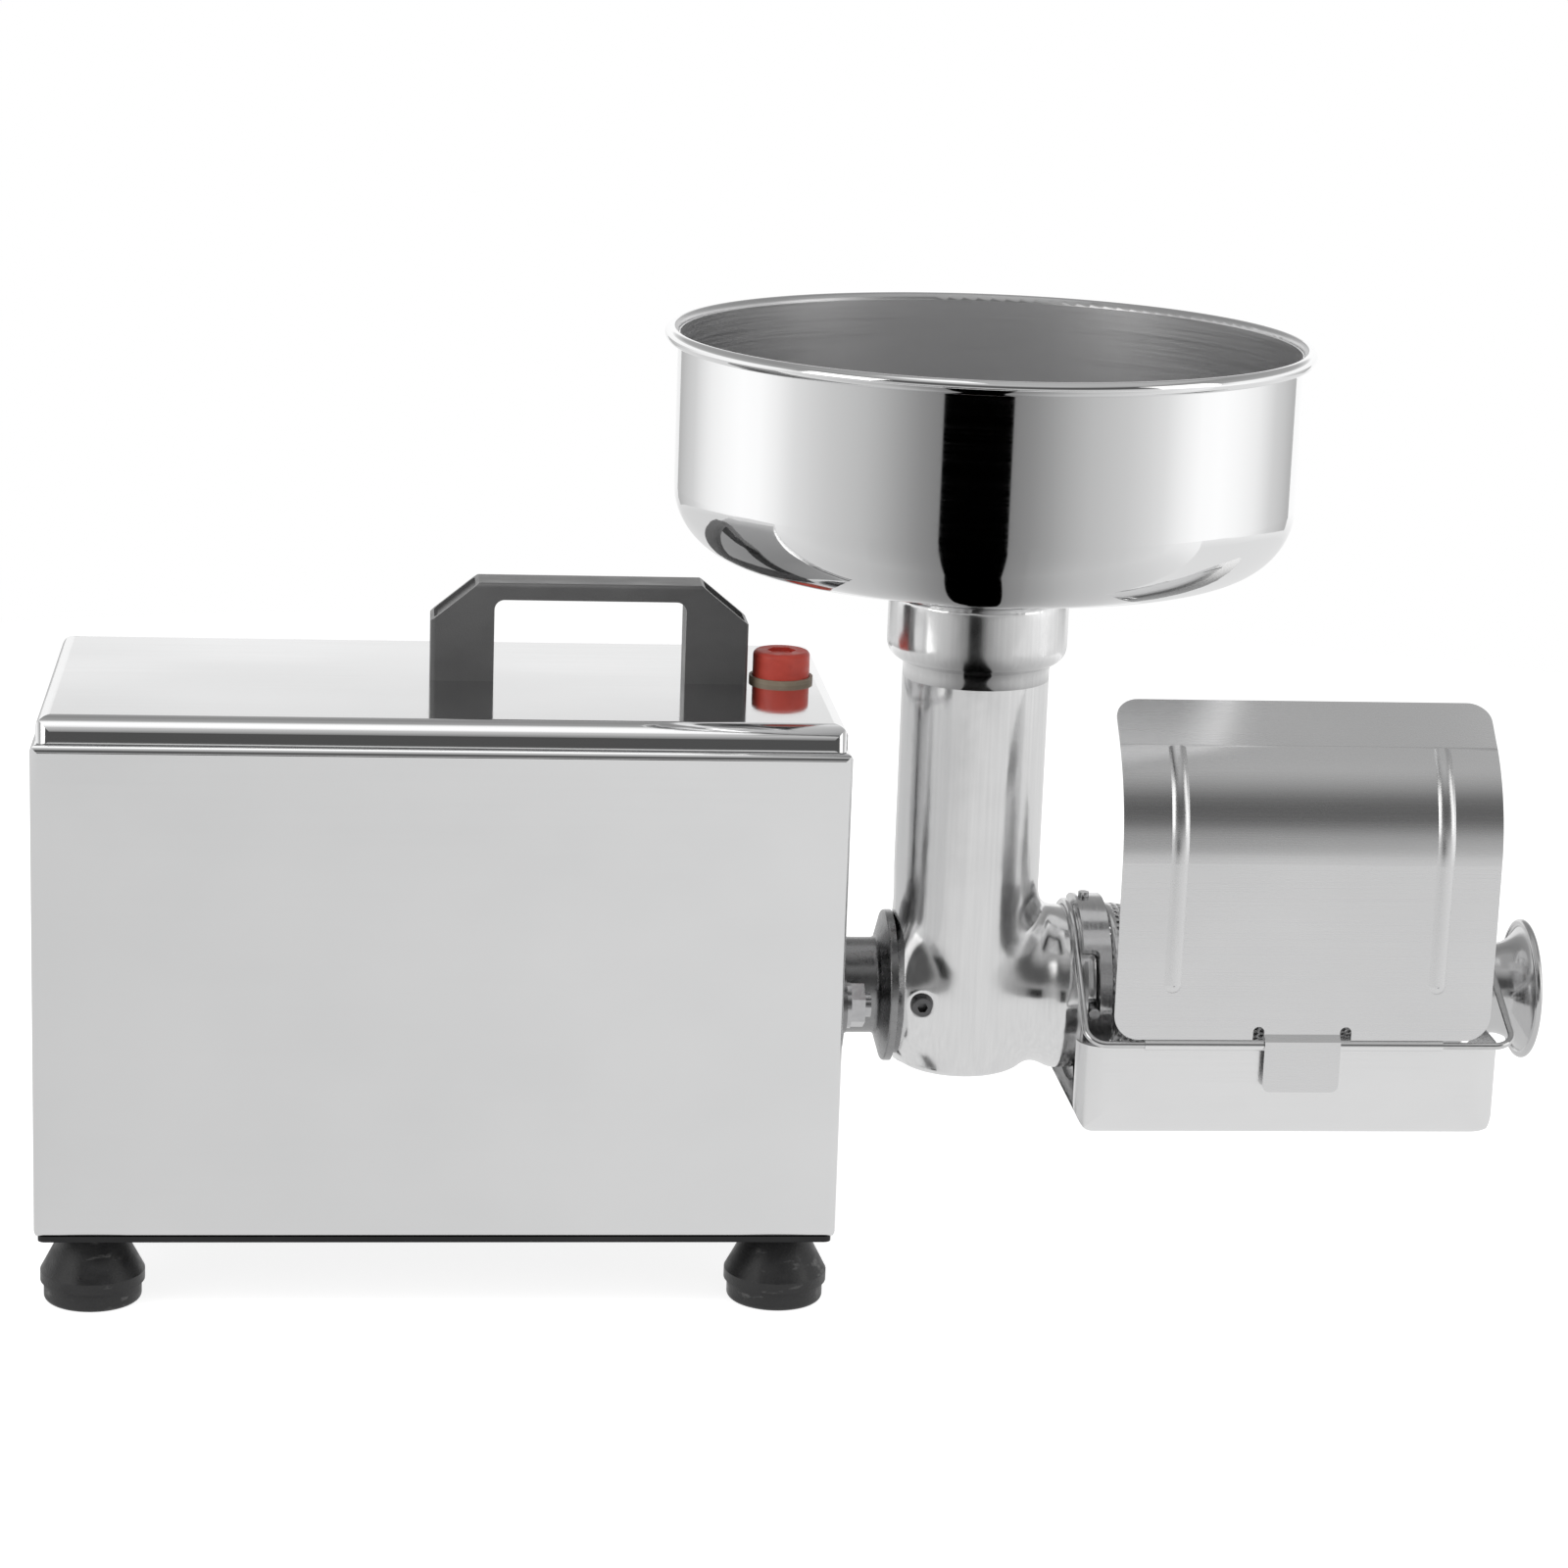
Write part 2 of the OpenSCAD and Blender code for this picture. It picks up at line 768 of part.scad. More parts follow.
module cable_gland() {
    color("dimgray") difference() {
        at_gland() {
            translate([0, 0, -sheet - gland_nut_height])
                hexagon(gland_nut, gland_nut_height);
            translate([0, 0, -sheet - gland_nut_height])
                cylinder(d = gland_thread, h = sheet + 2 * gland_nut_height);
            hexagon(gland_nut, gland_nut_height);
            translate([0, 0, gland_nut_height]) rotate_extrude()
                polygon(concat([[0, 0], [gland_nut / 2 - edge_round, 0]],
                    arc([gland_nut / 2 - edge_round - gland_dome_height / 2,
                        gland_dome_height / 2], gland_dome_height / 2, 0, 90),
                    [[0, gland_dome_height]]));
        }
        at_gland() translate([0, 0, -sheet - gland_nut_height - over])
            cylinder(d = gland_bore,
                h = sheet + 2 * (gland_nut_height + over) + gland_dome_height);
    }
}

module motor_casing() {
    color("slategray") along_head(motor_far)
        ring(motor_diameter / 2, motor_diameter / 2 - casing_wall, motor_length);
}

// Stack of laminations with slots open to the bore
module stator_core() {
    bore = rotor_radius + air_gap;
    color("saddlebrown") along_head((motor_near + motor_far - core_length) / 2) difference() {
        ring(motor_diameter / 2 - casing_wall, bore, core_length);
        for (i = [0:stator_slots - 1])
            rotate([0, 0, 360 * i / stator_slots])
                translate([bore - over, -slot_width / 2, -over])
                    cube([slot_depth + over, slot_width, core_length + 2 * over]);
    }
}

module motor_bell() {
    difference() {
        cylinder(d = motor_diameter, h = bell_width);
        translate([0, 0, -over]) {
            cylinder(r = motor_shaft_radius + bearing_ring, h = bearing_width + over);
            cylinder(r = motor_shaft_radius + loose, h = bell_width + 2 * over);
        }
    }
}

module motor_front_bell() {
    color("silver") along_head(motor_near) motor_bell();
}

module motor_rear_bell() {
    color("silver") along_head(motor_far) mirror([0, 0, 1]) motor_bell();
}

module bearing(shaft_radius) {
    ring(shaft_radius + bearing_ring, shaft_radius + running, bearing_width);
}

module motor_bearings() {
    color("lightsteelblue") {
        along_head(motor_near) bearing(motor_shaft_radius);
        along_head(motor_far - bearing_width) bearing(motor_shaft_radius);
    }
}

module rotor_core() {
    color("steelblue") along_head((motor_near + motor_far - core_length) / 2)
        ring(rotor_radius, motor_shaft_radius, core_length);
}

// Motor shaft with the pinion cut on its end
module motor_shaft() {
    far = motor_end - fan_gap - fan_width;
    color("gray") {
        along_head(far) cylinder(r = motor_shaft_radius, h = stage_gear_near - far);
        along_head(stage_gear_far) linear_extrude(height = stage_face) rotate([0, 0, 180])
            polygon(gear_points(motor_pinion_teeth, gear_module));
    }
}

module cooling_fan() {
    color("white") along_head(motor_end - fan_gap - fan_width) {
        ring(fan_hub, motor_shaft_radius, fan_width);
        ring(fan_radius, fan_hub, fan_disc);
        for (i = [0:fan_blades - 1])
            rotate([0, 0, 360 * i / fan_blades])
                translate([fan_hub - fan_disc, -fan_blade / 2, 0])
                    cube([fan_radius - fan_hub, fan_blade, fan_width]);
    }
}

module fan_cover() {
    color("dimgray") along_head(motor_end - fan_cover_depth) difference() {
        cylinder(r = fan_cover_radius, h = fan_cover_depth);
        translate([0, 0, fan_cover_wall])
            cylinder(r = fan_cover_radius - fan_cover_wall, h = fan_cover_depth);
        for (i = [0:grille_holes - 1])
            rotate([0, 0, 360 * i / grille_holes]) translate([grille_circle, 0, -over])
                cylinder(d = grille_hole, h = fan_cover_wall + 2 * over);
    }
}

// Cradle that carries the motor on the base plate
module motor_bracket() {
    foot_width = bracket_width - 2 * bracket_wall;
    window = axis_height - motor_diameter / 2 - shell_z - 2 * bracket_foot;
    color("darkgray") difference() {
        translate([face_x + (motor_near + motor_far - bracket_length) / 2, -bracket_width / 2,
            shell_z]) cube([bracket_length, bracket_width, bracket_rise]);
        along_head(motor_far) cylinder(d = motor_diameter, h = motor_length);
        translate([face_x + motor_far, -foot_width / 2, shell_z + bracket_foot])
            cube([motor_length, foot_width, window]);
    }
}

module at_capacitor() {
    translate([face_x - capacitor_offset, -capacitor_side, shell_z]) children();
}

module capacitor() {
    color("gainsboro") at_capacitor() cylinder(d = capacitor_diameter, h = capacitor_length);
}

module capacitor_clip() {
    radius = capacitor_diameter / 2;
    color("darkgray") at_capacitor() {
        ring(radius + clip_sheet, radius, clip_band);
        translate([radius + clip_sheet / 2, -clip_band / 2, 0])
            cube([clip_tab, clip_band, clip_sheet]);
    }
}

// Outline of the gear case: round about the axis and about the layshaft
module case_outline(radius) {
    circle(r = radius);
    translate([-gear_distance, 0]) circle(r = radius);
    translate([-gear_distance, -radius]) square([gear_distance, 2 * radius]);
}

module gearbox_case() {
    color("silver") difference() {
        along_head(case_back) linear_extrude(height = cover_inside - case_back)
            case_outline(case_radius + case_wall);
        along_head(case_inside) linear_extrude(height = cover_inside - case_inside + over)
            case_outline(case_radius);
        along_head(case_back - over)
            cylinder(r = motor_shaft_radius + loose, h = case_floor + 2 * over);
        along_layshaft(case_inside - bearing_width)
            cylinder(r = layshaft_radius + bearing_ring, h = bearing_width + over);
        along_head(case_back + case_floor) at_case_bolts()
            cylinder(d = case_bolt_diameter, h = cover_inside - case_back);
    }
}

module gearbox_cover() {
    color("lightgray") difference() {
        along_head(cover_inside) linear_extrude(height = cover_thickness)
            case_outline(case_radius + case_wall);
        along_head(cover_inside - over) {
            cylinder(r = output_ring_radius, h = bearing_width + over);
            cylinder(r = output_shaft_radius + loose, h = cover_thickness + 2 * over);
        }
        along_layshaft(cover_inside - over)
            cylinder(r = layshaft_radius + bearing_ring, h = bearing_width + over);
        along_head(wall_inside - stud_grip) at_studs()
            cylinder(d = stud_diameter, h = stud_grip + over);
        along_head(cover_inside - over) at_case_bolts()
            cylinder(d = case_bolt_diameter, h = cover_thickness + 2 * over);
        along_head(wall_inside - case_bolt_head_height) at_case_bolts()
            cylinder(d = case_bolt_head + 2 * loose, h = case_bolt_head_height + over);
    }
}

module gearbox_bolts() {
    near = wall_inside - case_bolt_head_height;
    color("dimgray") along_head() at_case_bolts() {
        translate([0, 0, near]) cylinder(d = case_bolt_head, h = case_bolt_head_height);
        translate([0, 0, case_back + case_floor])
            cylinder(d = case_bolt_diameter, h = near - case_back - case_floor);
    }
}

// Layshaft with the second-stage pinion cut on it
module layshaft() {
    color("gray") {
        along_layshaft(case_inside - bearing_width)
            cylinder(r = layshaft_radius, h = cover_inside - case_inside + 2 * bearing_width);
        along_layshaft(output_gear_far) linear_extrude(height = output_face)
            rotate([0, 0, 180 / stage_pinion_teeth])
            polygon(gear_points(stage_pinion_teeth, output_module));
    }
}

module gear_wheel(teeth, size, bore, face) {
    web = size * teeth / 2 * web_hole_share;
    linear_extrude(height = face) difference() {
        polygon(gear_points(teeth, size));
        circle(r = bore);
        for (i = [0:web_holes - 1])
            rotate([0, 0, 360 * i / web_holes]) translate([2 * web, 0]) circle(r = web / 2);
    }
}

module stage_gear() {
    color("goldenrod") along_layshaft(stage_gear_far) rotate([0, 0, 180 / stage_gear_teeth])
        gear_wheel(stage_gear_teeth, gear_module, layshaft_radius, stage_face);
}

module layshaft_bearings() {
    color("lightsteelblue") {
        along_layshaft(case_inside - bearing_width) bearing(layshaft_radius);
        along_layshaft(cover_inside) bearing(layshaft_radius);
    }
}

module output_gear() {
    color("goldenrod") along_head(output_gear_far) rotate([0, 0, 180])
        gear_wheel(output_gear_teeth, output_module, output_shaft_radius, output_face);
}

// Output shaft with a square socket for the auger's tang
module output_shaft() {
    socket = tang_width + 2 * socket_gap;
    color("gray") along_head(output_gear_far) difference() {
        cylinder(r = output_shaft_radius, h = shaft_end - output_gear_far);
        translate([-socket / 2, -socket / 2, shaft_end - output_gear_far - tang_length - loose])
            cube([socket, socket, tang_length + loose + over]);
    }
}

module output_bearings() {
    color("lightsteelblue") {
        along_head(cover_inside) bearing(output_shaft_radius);
        along_head(rear_flange_offset - bearing_width) bearing(output_shaft_radius);
    }
}

// Cast neck with two ears, flared to meet the head's rear flange
module drive_neck() {
    flange = rear_flange_diameter / 2;
    neck = neck_diameter / 2;
    color("silver") along_head() difference() {
        union() {
            cylinder(d = neck_plate_diameter, h = neck_plate);
            linear_extrude(height = neck_plate) {
                square([neck_ear_width, 2 * stud_offset], center = true);
                for (side = [-1, 1])
                    translate([0, side * stud_offset]) circle(d = neck_ear_width);
            }
            rotate_extrude() polygon(concat([[0, 0], [neck, 0], [neck, neck_straight]],
                arc([neck + 2 * edge_round, neck_straight + neck_plate - edge_round],
                    2 * edge_round, 180, 180 - neck_slope),
                [[flange - edge_round, rear_flange_offset - 3 * edge_round]],
                arc([flange - edge_round, rear_flange_offset - 2 * edge_round],
                    edge_round, -neck_slope, 0),
                [[flange, rear_flange_offset], [0, rear_flange_offset]]));
        }
        translate([0, 0, -over]) cylinder(r = output_shaft_radius + loose,
            h = rear_flange_offset + 2 * over);
        translate([0, 0, rear_flange_offset - bearing_width])
            cylinder(r = output_ring_radius, h = bearing_width + over);
        translate([0, 0, -over]) at_studs()
            cylinder(d = stud_diameter + 2 * loose, h = neck_plate + 2 * over);
    }
}

module mounting_studs() {
    color("silver") along_head(wall_inside - stud_grip) at_studs()
        cylinder(d = stud_diameter, h = stud_grip - wall_inside + neck_plate
            + washer_thickness + nut_height + stud_end);
}

module mounting_washers() {
    color("silver") along_head(neck_plate) at_studs()
        ring(washer_diameter / 2, stud_diameter / 2 + loose, washer_thickness);
}

module mounting_nuts() {
    color("silver") along_head(neck_plate + washer_thickness) at_studs() difference() {
        hexagon(nut_width, nut_height);
        translate([0, 0, -over]) cylinder(d = stud_diameter, h = nut_height + 2 * over);
    }
}

// Children turned so that their +Z points out of the front of the boss
module at_lock_screw() {
    translate([face_x + boss_offset, lock_screw_length - boss_reach, axis_height])
        rotate([90, 0, 0]) children();
}

// Cast head: rear flange, barrel, feed tube with its collar, and the mouth
module head_body() {
    flange = rear_flange_diameter / 2;
    flange_end = rear_flange_offset + rear_flange_width;
    mouth = mouth_flange_diameter / 2;
    mouth_start = mouth_flange_offset - mouth_flange_width;
    collar = collar_diameter / 2;
    collar_foot = collar_rise - collar_height;
    collar_flare = collar - tube_radius;
    color("lightgray") difference() {
        union() {
            along_head() rotate_extrude() polygon(concat([[0, rear_flange_offset]],
                arc([flange - edge_round, rear_flange_offset + edge_round], edge_round, -90, 0),
                arc([flange - edge_round, flange_end - edge_round], edge_round, 0, 90),
                [[barrel_radius, flange_end]],
                arc([barrel_radius + mouth_fillet, mouth_start - mouth_fillet], mouth_fillet,
                    180, 90),
                arc([mouth - edge_round, mouth_start + edge_round], edge_round, -90, 0),
                arc([mouth - edge_round, mouth_flange_offset - edge_round], edge_round, 0, 90),
                [[mouth_radius, mouth_flange_offset]],
                arc([mouth_radius - edge_round, mouth_end - edge_round], edge_round, 0, 90),
                [[0, mouth_end]]));
            translate([face_x + tube_offset, 0, axis_height]) rotate_extrude()
                polygon(concat([[0, -tube_foot]],
                    arc([tube_radius - tube_foot_round, tube_foot_round - tube_foot],
                        tube_foot_round, -90, 0, 10),
                    arc([tube_radius, collar_foot + collar_flare], collar_flare, -90, 0, 8),
                    arc([collar - edge_round, collar_rise - edge_round], edge_round, 0, 90),
                    [[0, collar_rise]]));
            along_head(boss_offset) rotate([0, 0, 180]) rotate([-90, 0, 0])
                cylinder(r = boss_radius, h = boss_reach);
            along_head(dowel_offset) rotate([0, 0, 270 + dowel_angle]) rotate([0, 90, 0])
                cylinder(r = dowel_radius, h = dowel_reach);
        }
        along_head(rear_flange_offset - over)
            cylinder(r = journal_radius + running, h = rear_wall + 2 * over);
        along_head(rear_flange_offset + rear_wall)
            cylinder(r = bore_radius, h = mouth_end - rear_flange_offset - rear_wall + over);
        translate([face_x + tube_offset, 0, axis_height])
            cylinder(r = tube_bore_radius, h = collar_rise + over);
        translate([face_x + tube_offset, 0, collar_z - socket_depth])
            cylinder(r = socket_radius, h = socket_depth + over);
        at_lock_screw() cylinder(d = lock_screw_diameter, h = lock_screw_length + over);
        bayonet_holes();
    }
}

module at_pins() {
    for (i = [0:3])
        rotate([0, 0, 90 * i]) rotate([0, 90, 0]) children();
}

module bayonet_holes() {
    along_head(pin_offset) at_pins() translate([0, 0, pin_root])
        cylinder(r = pin_radius, h = mouth_radius);
}

module lock_screw() {
    color("dimgray") at_lock_screw() difference() {
        cylinder(d = lock_screw_diameter, h = lock_screw_length);
        translate([0, 0, lock_screw_length - lock_screw_key]) hexagon(lock_screw_key,
            lock_screw_key + over);
    }
}

module bayonet_pins() {
    color("silver") along_head(pin_offset) at_pins() translate([0, 0, pin_root])
        cylinder(r = pin_radius, h = strainer_radius + pin_proud - pin_root);
}

// Spun pan: wall, round corner, floor that falls to the outlet, and a rolled bead
module hopper_pan() {
    start = [pan_radius - pan_corner * (1 - sin(pan_fall)), pan_corner_z
        - pan_corner * cos(pan_fall)];
    slope = [cos(pan_fall), sin(pan_fall)];
    normal = [-sin(pan_fall), cos(pan_fall)];
    floor_fall = (start[0] - spigot_bore_radius) / cos(pan_fall) * slope;
    below = start - running * normal;
    above = start + (pan_sheet + running) * normal;
    color("silver") translate([face_x + tube_offset, 0, 0]) rotate_extrude() {
        translate([pan_radius - pan_sheet, pan_corner_z])
            square([pan_sheet, pan_rim_z - pan_corner_z]);
        translate([pan_radius - pan_corner, pan_corner_z]) mirror([0, 1])
            bent_band(pan_corner, pan_sheet, 90 - pan_fall);
        polygon([below + over * slope, above + over * slope, above - floor_fall,
            below - floor_fall]);
        translate([pan_radius + pan_bead - pan_sheet / 2, pan_rim_z]) circle(r = pan_bead);
    }
}

module hopper_spigot() {
    color("lightgray") translate([face_x + tube_offset, 0, collar_z]) {
        translate([0, 0, loose - socket_depth])
            ring(spigot_radius, spigot_bore_radius, outlet_z - collar_z + socket_depth - loose);
        ring(hopper_ring_radius, spigot_radius, hopper_ring_height);
    }
}

// Inner radius of the screen at a distance from the housing, and of the flight inside it
function screen_radius(offset) = screen_large_diameter / 2
    + (screen_small_diameter - screen_large_diameter) / 2
    * (offset - screen_start) / screen_length;
function flight_radius(offset) = min(bore_radius,
    screen_radius(offset) - screen_sheet) - flight_clearance;

// Core of the screw, with its journal and the square tang that drives it
module auger() {
    core_start = rear_flange_offset + journal_length;
    core_length = screen_end - core_start;
    color("whitesmoke") along_head() {
        translate([0, 0, rear_flange_offset]) cylinder(r = journal_radius, h = journal_length);
        translate([0, 0, core_start]) rotate_extrude()
            polygon(concat([[0, 0], [auger_core_radius, 0]],
                arc([auger_core_radius - auger_nose, core_length - auger_nose], auger_nose, 0, 90),
                [[0, core_length]]));
        translate([-tang_width / 2, -tang_width / 2, rear_flange_offset - tang_length])
            cube([tang_width, tang_width, tang_length + over]);
    }
}

// Flight wound round the core; its outer edge follows the barrel, then the screen
module auger_flight() {
    sections = floor((flight_end - flight_start) / flight_pitch * flight_steps);
    root = auger_core_radius / cos(180 / flight_steps) + running;
    points = [for (i = [0:sections]) let (offset = flight_start + i * flight_pitch / flight_steps,
        angle = 360 * i / flight_steps, tip = flight_radius(offset))
        each [for (p = [[root, -flight_root / 2], [tip, -flight_tip / 2],
            [tip, flight_tip / 2], [root, flight_root / 2]])
            [p[0] * cos(angle), p[0] * sin(angle), offset + p[1]]]];
    faces = concat([[0, 1, 2], [0, 2, 3]],
        [for (i = [0:sections - 1], j = [0:3]) let (a = 4 * i + j, b = 4 * i + (j + 1) % 4)
            each [[a, a + 4, b + 4], [a, b + 4, b]]],
        [[4 * sections, 4 * sections + 2, 4 * sections + 1],
            [4 * sections, 4 * sections + 3, 4 * sections + 2]]);
    color("whitesmoke") along_head() polyhedron(points, faces);
}

// Bayonet collar with four slots: each runs in from the near edge, then round to its pin
module strainer_collar() {
    slot = 2 * (pin_radius + loose);
    leg = slot - 2 * running;
    color("silver") difference() {
        along_head(strainer_offset)
            ring(strainer_radius, strainer_radius - collar_wall, strainer_collar_width);
        along_head(pin_offset) at_pins() cylinder(d = slot, h = strainer_radius + over);
        along_head(pin_offset) rotate([0, 0, -bayonet_turn]) at_pins()
            cylinder(d = slot, h = strainer_radius + over);
        for (i = [0:3]) {
            along_head(pin_offset - leg / 2) rotate([0, 0, 90 * i - bayonet_turn])
                rotate_extrude(angle = bayonet_turn)
                translate([strainer_radius - collar_wall - over, 0])
                square([collar_wall + 2 * over, leg]);
            along_head(strainer_offset - over) rotate([0, 0, 90 * i - bayonet_turn])
                translate([0, -leg / 2, 0])
                cube([strainer_radius + over, leg, pin_set_back + over]);
        }
    }
}

// Tapered screen, drilled in rings that stand half a hole apart
module strainer_screen() {
    large = screen_large_diameter / 2;
    small = screen_small_diameter / 2;
    pitch = screen_length / (screen_rows + 1);
    color("gainsboro") along_head(screen_start) difference() {
        rotate_extrude() polygon([[large - screen_sheet, 0], [large, 0],
            [small, screen_length], [small - screen_sheet, screen_length]]);
        for (row = [1:screen_rows], i = [0:screen_holes_per_row - 1])
            rotate([0, 0, 360 * (i + (row % 2) / 2) / screen_holes_per_row])
                translate([small / 2, 0, row * pitch]) rotate([0, 90, 0])
                cylinder(d = screen_hole, h = large);
    }
}

module discharge_spout() {
    neck = screen_small_diameter / 2;
    rise = spout_diameter / 2 - neck + spout_sheet / 2;
    run = spout_length - spout_neck;
    flare = (rise * rise + run * run) / (2 * rise);
    color("silver") along_head(screen_end) rotate_extrude() {
        translate([neck - spout_sheet, 0]) square([spout_sheet, spout_neck]);
        translate([neck + flare, spout_neck]) mirror([1, 0])
            bent_band(flare + spout_sheet, spout_sheet, 2 * atan2(rise, run));
        translate([spout_diameter / 2, spout_length]) circle(r = bead_radius);
    }
}

// Half an arch, from over the head down to its rail: a bend about the axis, a straight side
// and the bend into the rail, which runs on along +X
function arch_path(radius) =
    let (distance = norm([rail_side, rail_drop]),
        touch = acos(radius / distance) - atan2(rail_drop, rail_side),
        up = [0, -sin(touch), cos(touch)],
        foot = [0, rail_side, -rail_drop],
        along = [1, 0, 0])
    concat([for (i = [0:arch_steps]) let (a = 90 - (90 - touch) * i / arch_steps)
            radius * [0, cos(a), sin(a)]],
        [for (i = [0:arch_steps]) let (a = 90 * i / arch_steps)
            foot + frame_bend * ((1 - sin(a)) * up + (1 - cos(a)) * along)]);

function unit(v) = v / norm(v);

// Rings of a wire: each is the one before it, slid along to the mitre at the next point
function wire_rings(path, points, i = 0) =
    i == len(path) - 1 ? [points] :
    let (run = unit(path[i + 1] - path[i]),
        mitre = i + 2 < len(path) ? run + unit(path[i + 2] - path[i + 1]) : [0, 1, 0])
    concat([points], wire_rings(path, [for (p = points)
        p + run * ((path[i + 1] - p) * mitre) / (run * mitre)], i + 1));

// Wire along a path that starts and ends square to the Y axis
module bent_wire(path) {
    first = [for (i = [0:wire_sides - 1]) let (a = 360 * (i + 0.5) / wire_sides)
        path[0] + wire / 2 * [cos(a), 0, sin(a)]];
    rings = wire_rings(path, first);
    n = wire_sides;
    last = n * (len(rings) - 1);
    polyhedron([for (ring = rings) each ring],
        concat([[for (i = [0:n - 1]) i]],
            [for (r = [0:len(rings) - 2], i = [0:n - 1])
                let (a = n * r + i, b = n * r + (i + 1) % n)
                each [[a, a + n, b + n], [a, b + n, b]]],
            [[for (i = [n - 1:-1:0]) last + i]]));
}

// Spring wire frame: an arch over the mouth, one over the spout and the rails between them
module wire_frame() {
    near = arch_path(mouth_radius + wire / 2 + loose);
    far = arch_path(screen_small_diameter / 2 + wire / 2 + loose);
    path = concat([for (p = near) p + [frame_near, 0, 0]],
        [for (i = [len(far) - 1:-1:0]) [frame_far - far[i][0], far[i][1], far[i][2]]]);
    color("silver") translate([face_x, 0, axis_height]) for (side = [0, 1])
        mirror([0, side, 0]) bent_wire(path);
}

// Pressed tray with its long walls rolled round the rails; the ends are cut low for the head
module drip_tray() {
    mid = face_x + tray_near + tray_length / 2;
    wall_top = rail_z - wire / 2 - loose;
    rail_hole = wire / 2 + running;
    color("gainsboro") difference() {
        union() {
            translate([mid, 0, 0]) difference() {
                folded_block(tray_length, tray_depth, tray_z, wall_top, tray_corner, 0,
                    tray_fold);
                folded_block(tray_length - 2 * tray_sheet, tray_depth - 2 * tray_sheet,
                    tray_z + tray_sheet, wall_top + over, tray_corner - tray_sheet, 0,
                    tray_fold - tray_sheet);
            }
            for (side = [-1, 1]) {
                translate([mid - hem_length / 2, side * rail_side, rail_z]) rotate([0, 90, 0])
                    cylinder(r = hem_radius, h = hem_length);
                translate([mid, side * (tray_depth - tray_sheet) / 2, wall_top - over])
                    linear_extrude(height = rail_z - wall_top + over)
                    square([hem_length, tray_sheet], center = true);
            }
        }
        for (side = [-1, 1])
            translate([mid - tray_length / 2, side * rail_side, rail_z]) rotate([0, 90, 0])
                cylinder(r = rail_hole, h = tray_length);
        translate([face_x + tray_near - over, tray_corner - tray_depth / 2,
            axis_height - tray_rear_drop])
            cube([tray_corner + over, tray_depth - 2 * tray_corner, tray_height]);
        translate([mid + tray_length / 2 - tray_corner, 0, axis_height]) rotate([0, 90, 0])
            cylinder(r = tray_front_notch, h = tray_corner + over);
    }
}

module at_guard() {
    translate([face_x + guard_near + guard_width / 2, -rail_side, guard_z]) children();
}

// Rib pressed out of the guard: a low arc on its outer face
module rib_outline(radius, offset) {
    intersection() {
        translate([0, rib_rise - radius + offset]) circle(r = radius);
        translate([-radius, 0]) square([2 * radius, offset + rib_rise]);
    }
}

// Curved guard: upright wall, bend and lip, with two ribs and the clip that hooks the rail
module splash_guard() {
    half_sheet = tray_sheet / 2;
    rib_radius = (rib_width * rib_width / 4 + rib_rise * rib_rise) / (2 * rib_rise);
    rib_place = guard_width / 2 - rib_inset;
    clip_gap = hem_radius + loose;
    clip_low = -clip_length - hem_radius;
    color("lightgray") at_guard() {
        rotate([90, 0, 0]) linear_extrude(height = tray_sheet, center = true) difference() {
            wall_outline(guard_width, 0, guard_wall, 0, guard_corner);
            for (side = [-1, 1]) translate([side * (clip_width + guard_notch) / 2, 0]) {
                translate([0, guard_notch_height - guard_notch / 2])
                    circle(d = guard_notch);
                square([guard_notch - 2 * running, 2 * guard_notch_height - guard_notch],
                    center = true);
            }
        }
        translate([0, guard_bend - half_sheet, guard_wall]) rotate([90, 0, 90])
            linear_extrude(height = guard_width, center = true) mirror([1, 0])
            bent_band(guard_bend, tray_sheet, guard_angle);
        translate([0, guard_bend - half_sheet, guard_wall]) rotate([-guard_angle, 0, 0])
            translate([0, half_sheet - guard_bend, 0]) rotate([90, 0, 0])
            linear_extrude(height = tray_sheet + 2 * running, center = true)
            wall_outline(guard_width - 2 * running, -over, guard_lip, guard_top_corner, 0);
        for (side = [-1, 1]) {
            translate([side * rib_place, 0, rib_inset]) {
                linear_extrude(height = guard_wall - rib_inset) mirror([0, 1])
                    rib_outline(rib_radius, half_sheet);
                rotate([90, 0, 0]) rotate(180) rotate_extrude(angle = 180)
                    intersection() {
                        rib_outline(rib_radius, half_sheet);
                        square([rib_radius, rib_radius]);
                    }
            }
            translate([side * rib_place, guard_bend - half_sheet, guard_wall])
                rotate([90, 0, -90]) rotate_extrude(angle = guard_angle * rib_share)
                translate([guard_bend - half_sheet, 0]) rotate(-90)
                rib_outline(rib_radius, half_sheet);
        }
        intersection() {
            rotate([90, 0, 90]) linear_extrude(height = clip_width + 2 * over, center = true)
                polygon([[half_sheet, 0], [half_sheet, guard_notch_height],
                    [-half_sheet, guard_notch_height], [-half_sheet, clip_gap],
                    [-clip_gap - tray_sheet, 0], [-clip_gap - tray_sheet, clip_low],
                    [-clip_gap, clip_low], [-clip_gap, -running]]);
            rotate([90, 0, 0]) linear_extrude(height = guard_bend, center = true)
                wall_outline(clip_width, clip_low, guard_notch_height + over, 0,
                    clip_corner);
        }
    }
}

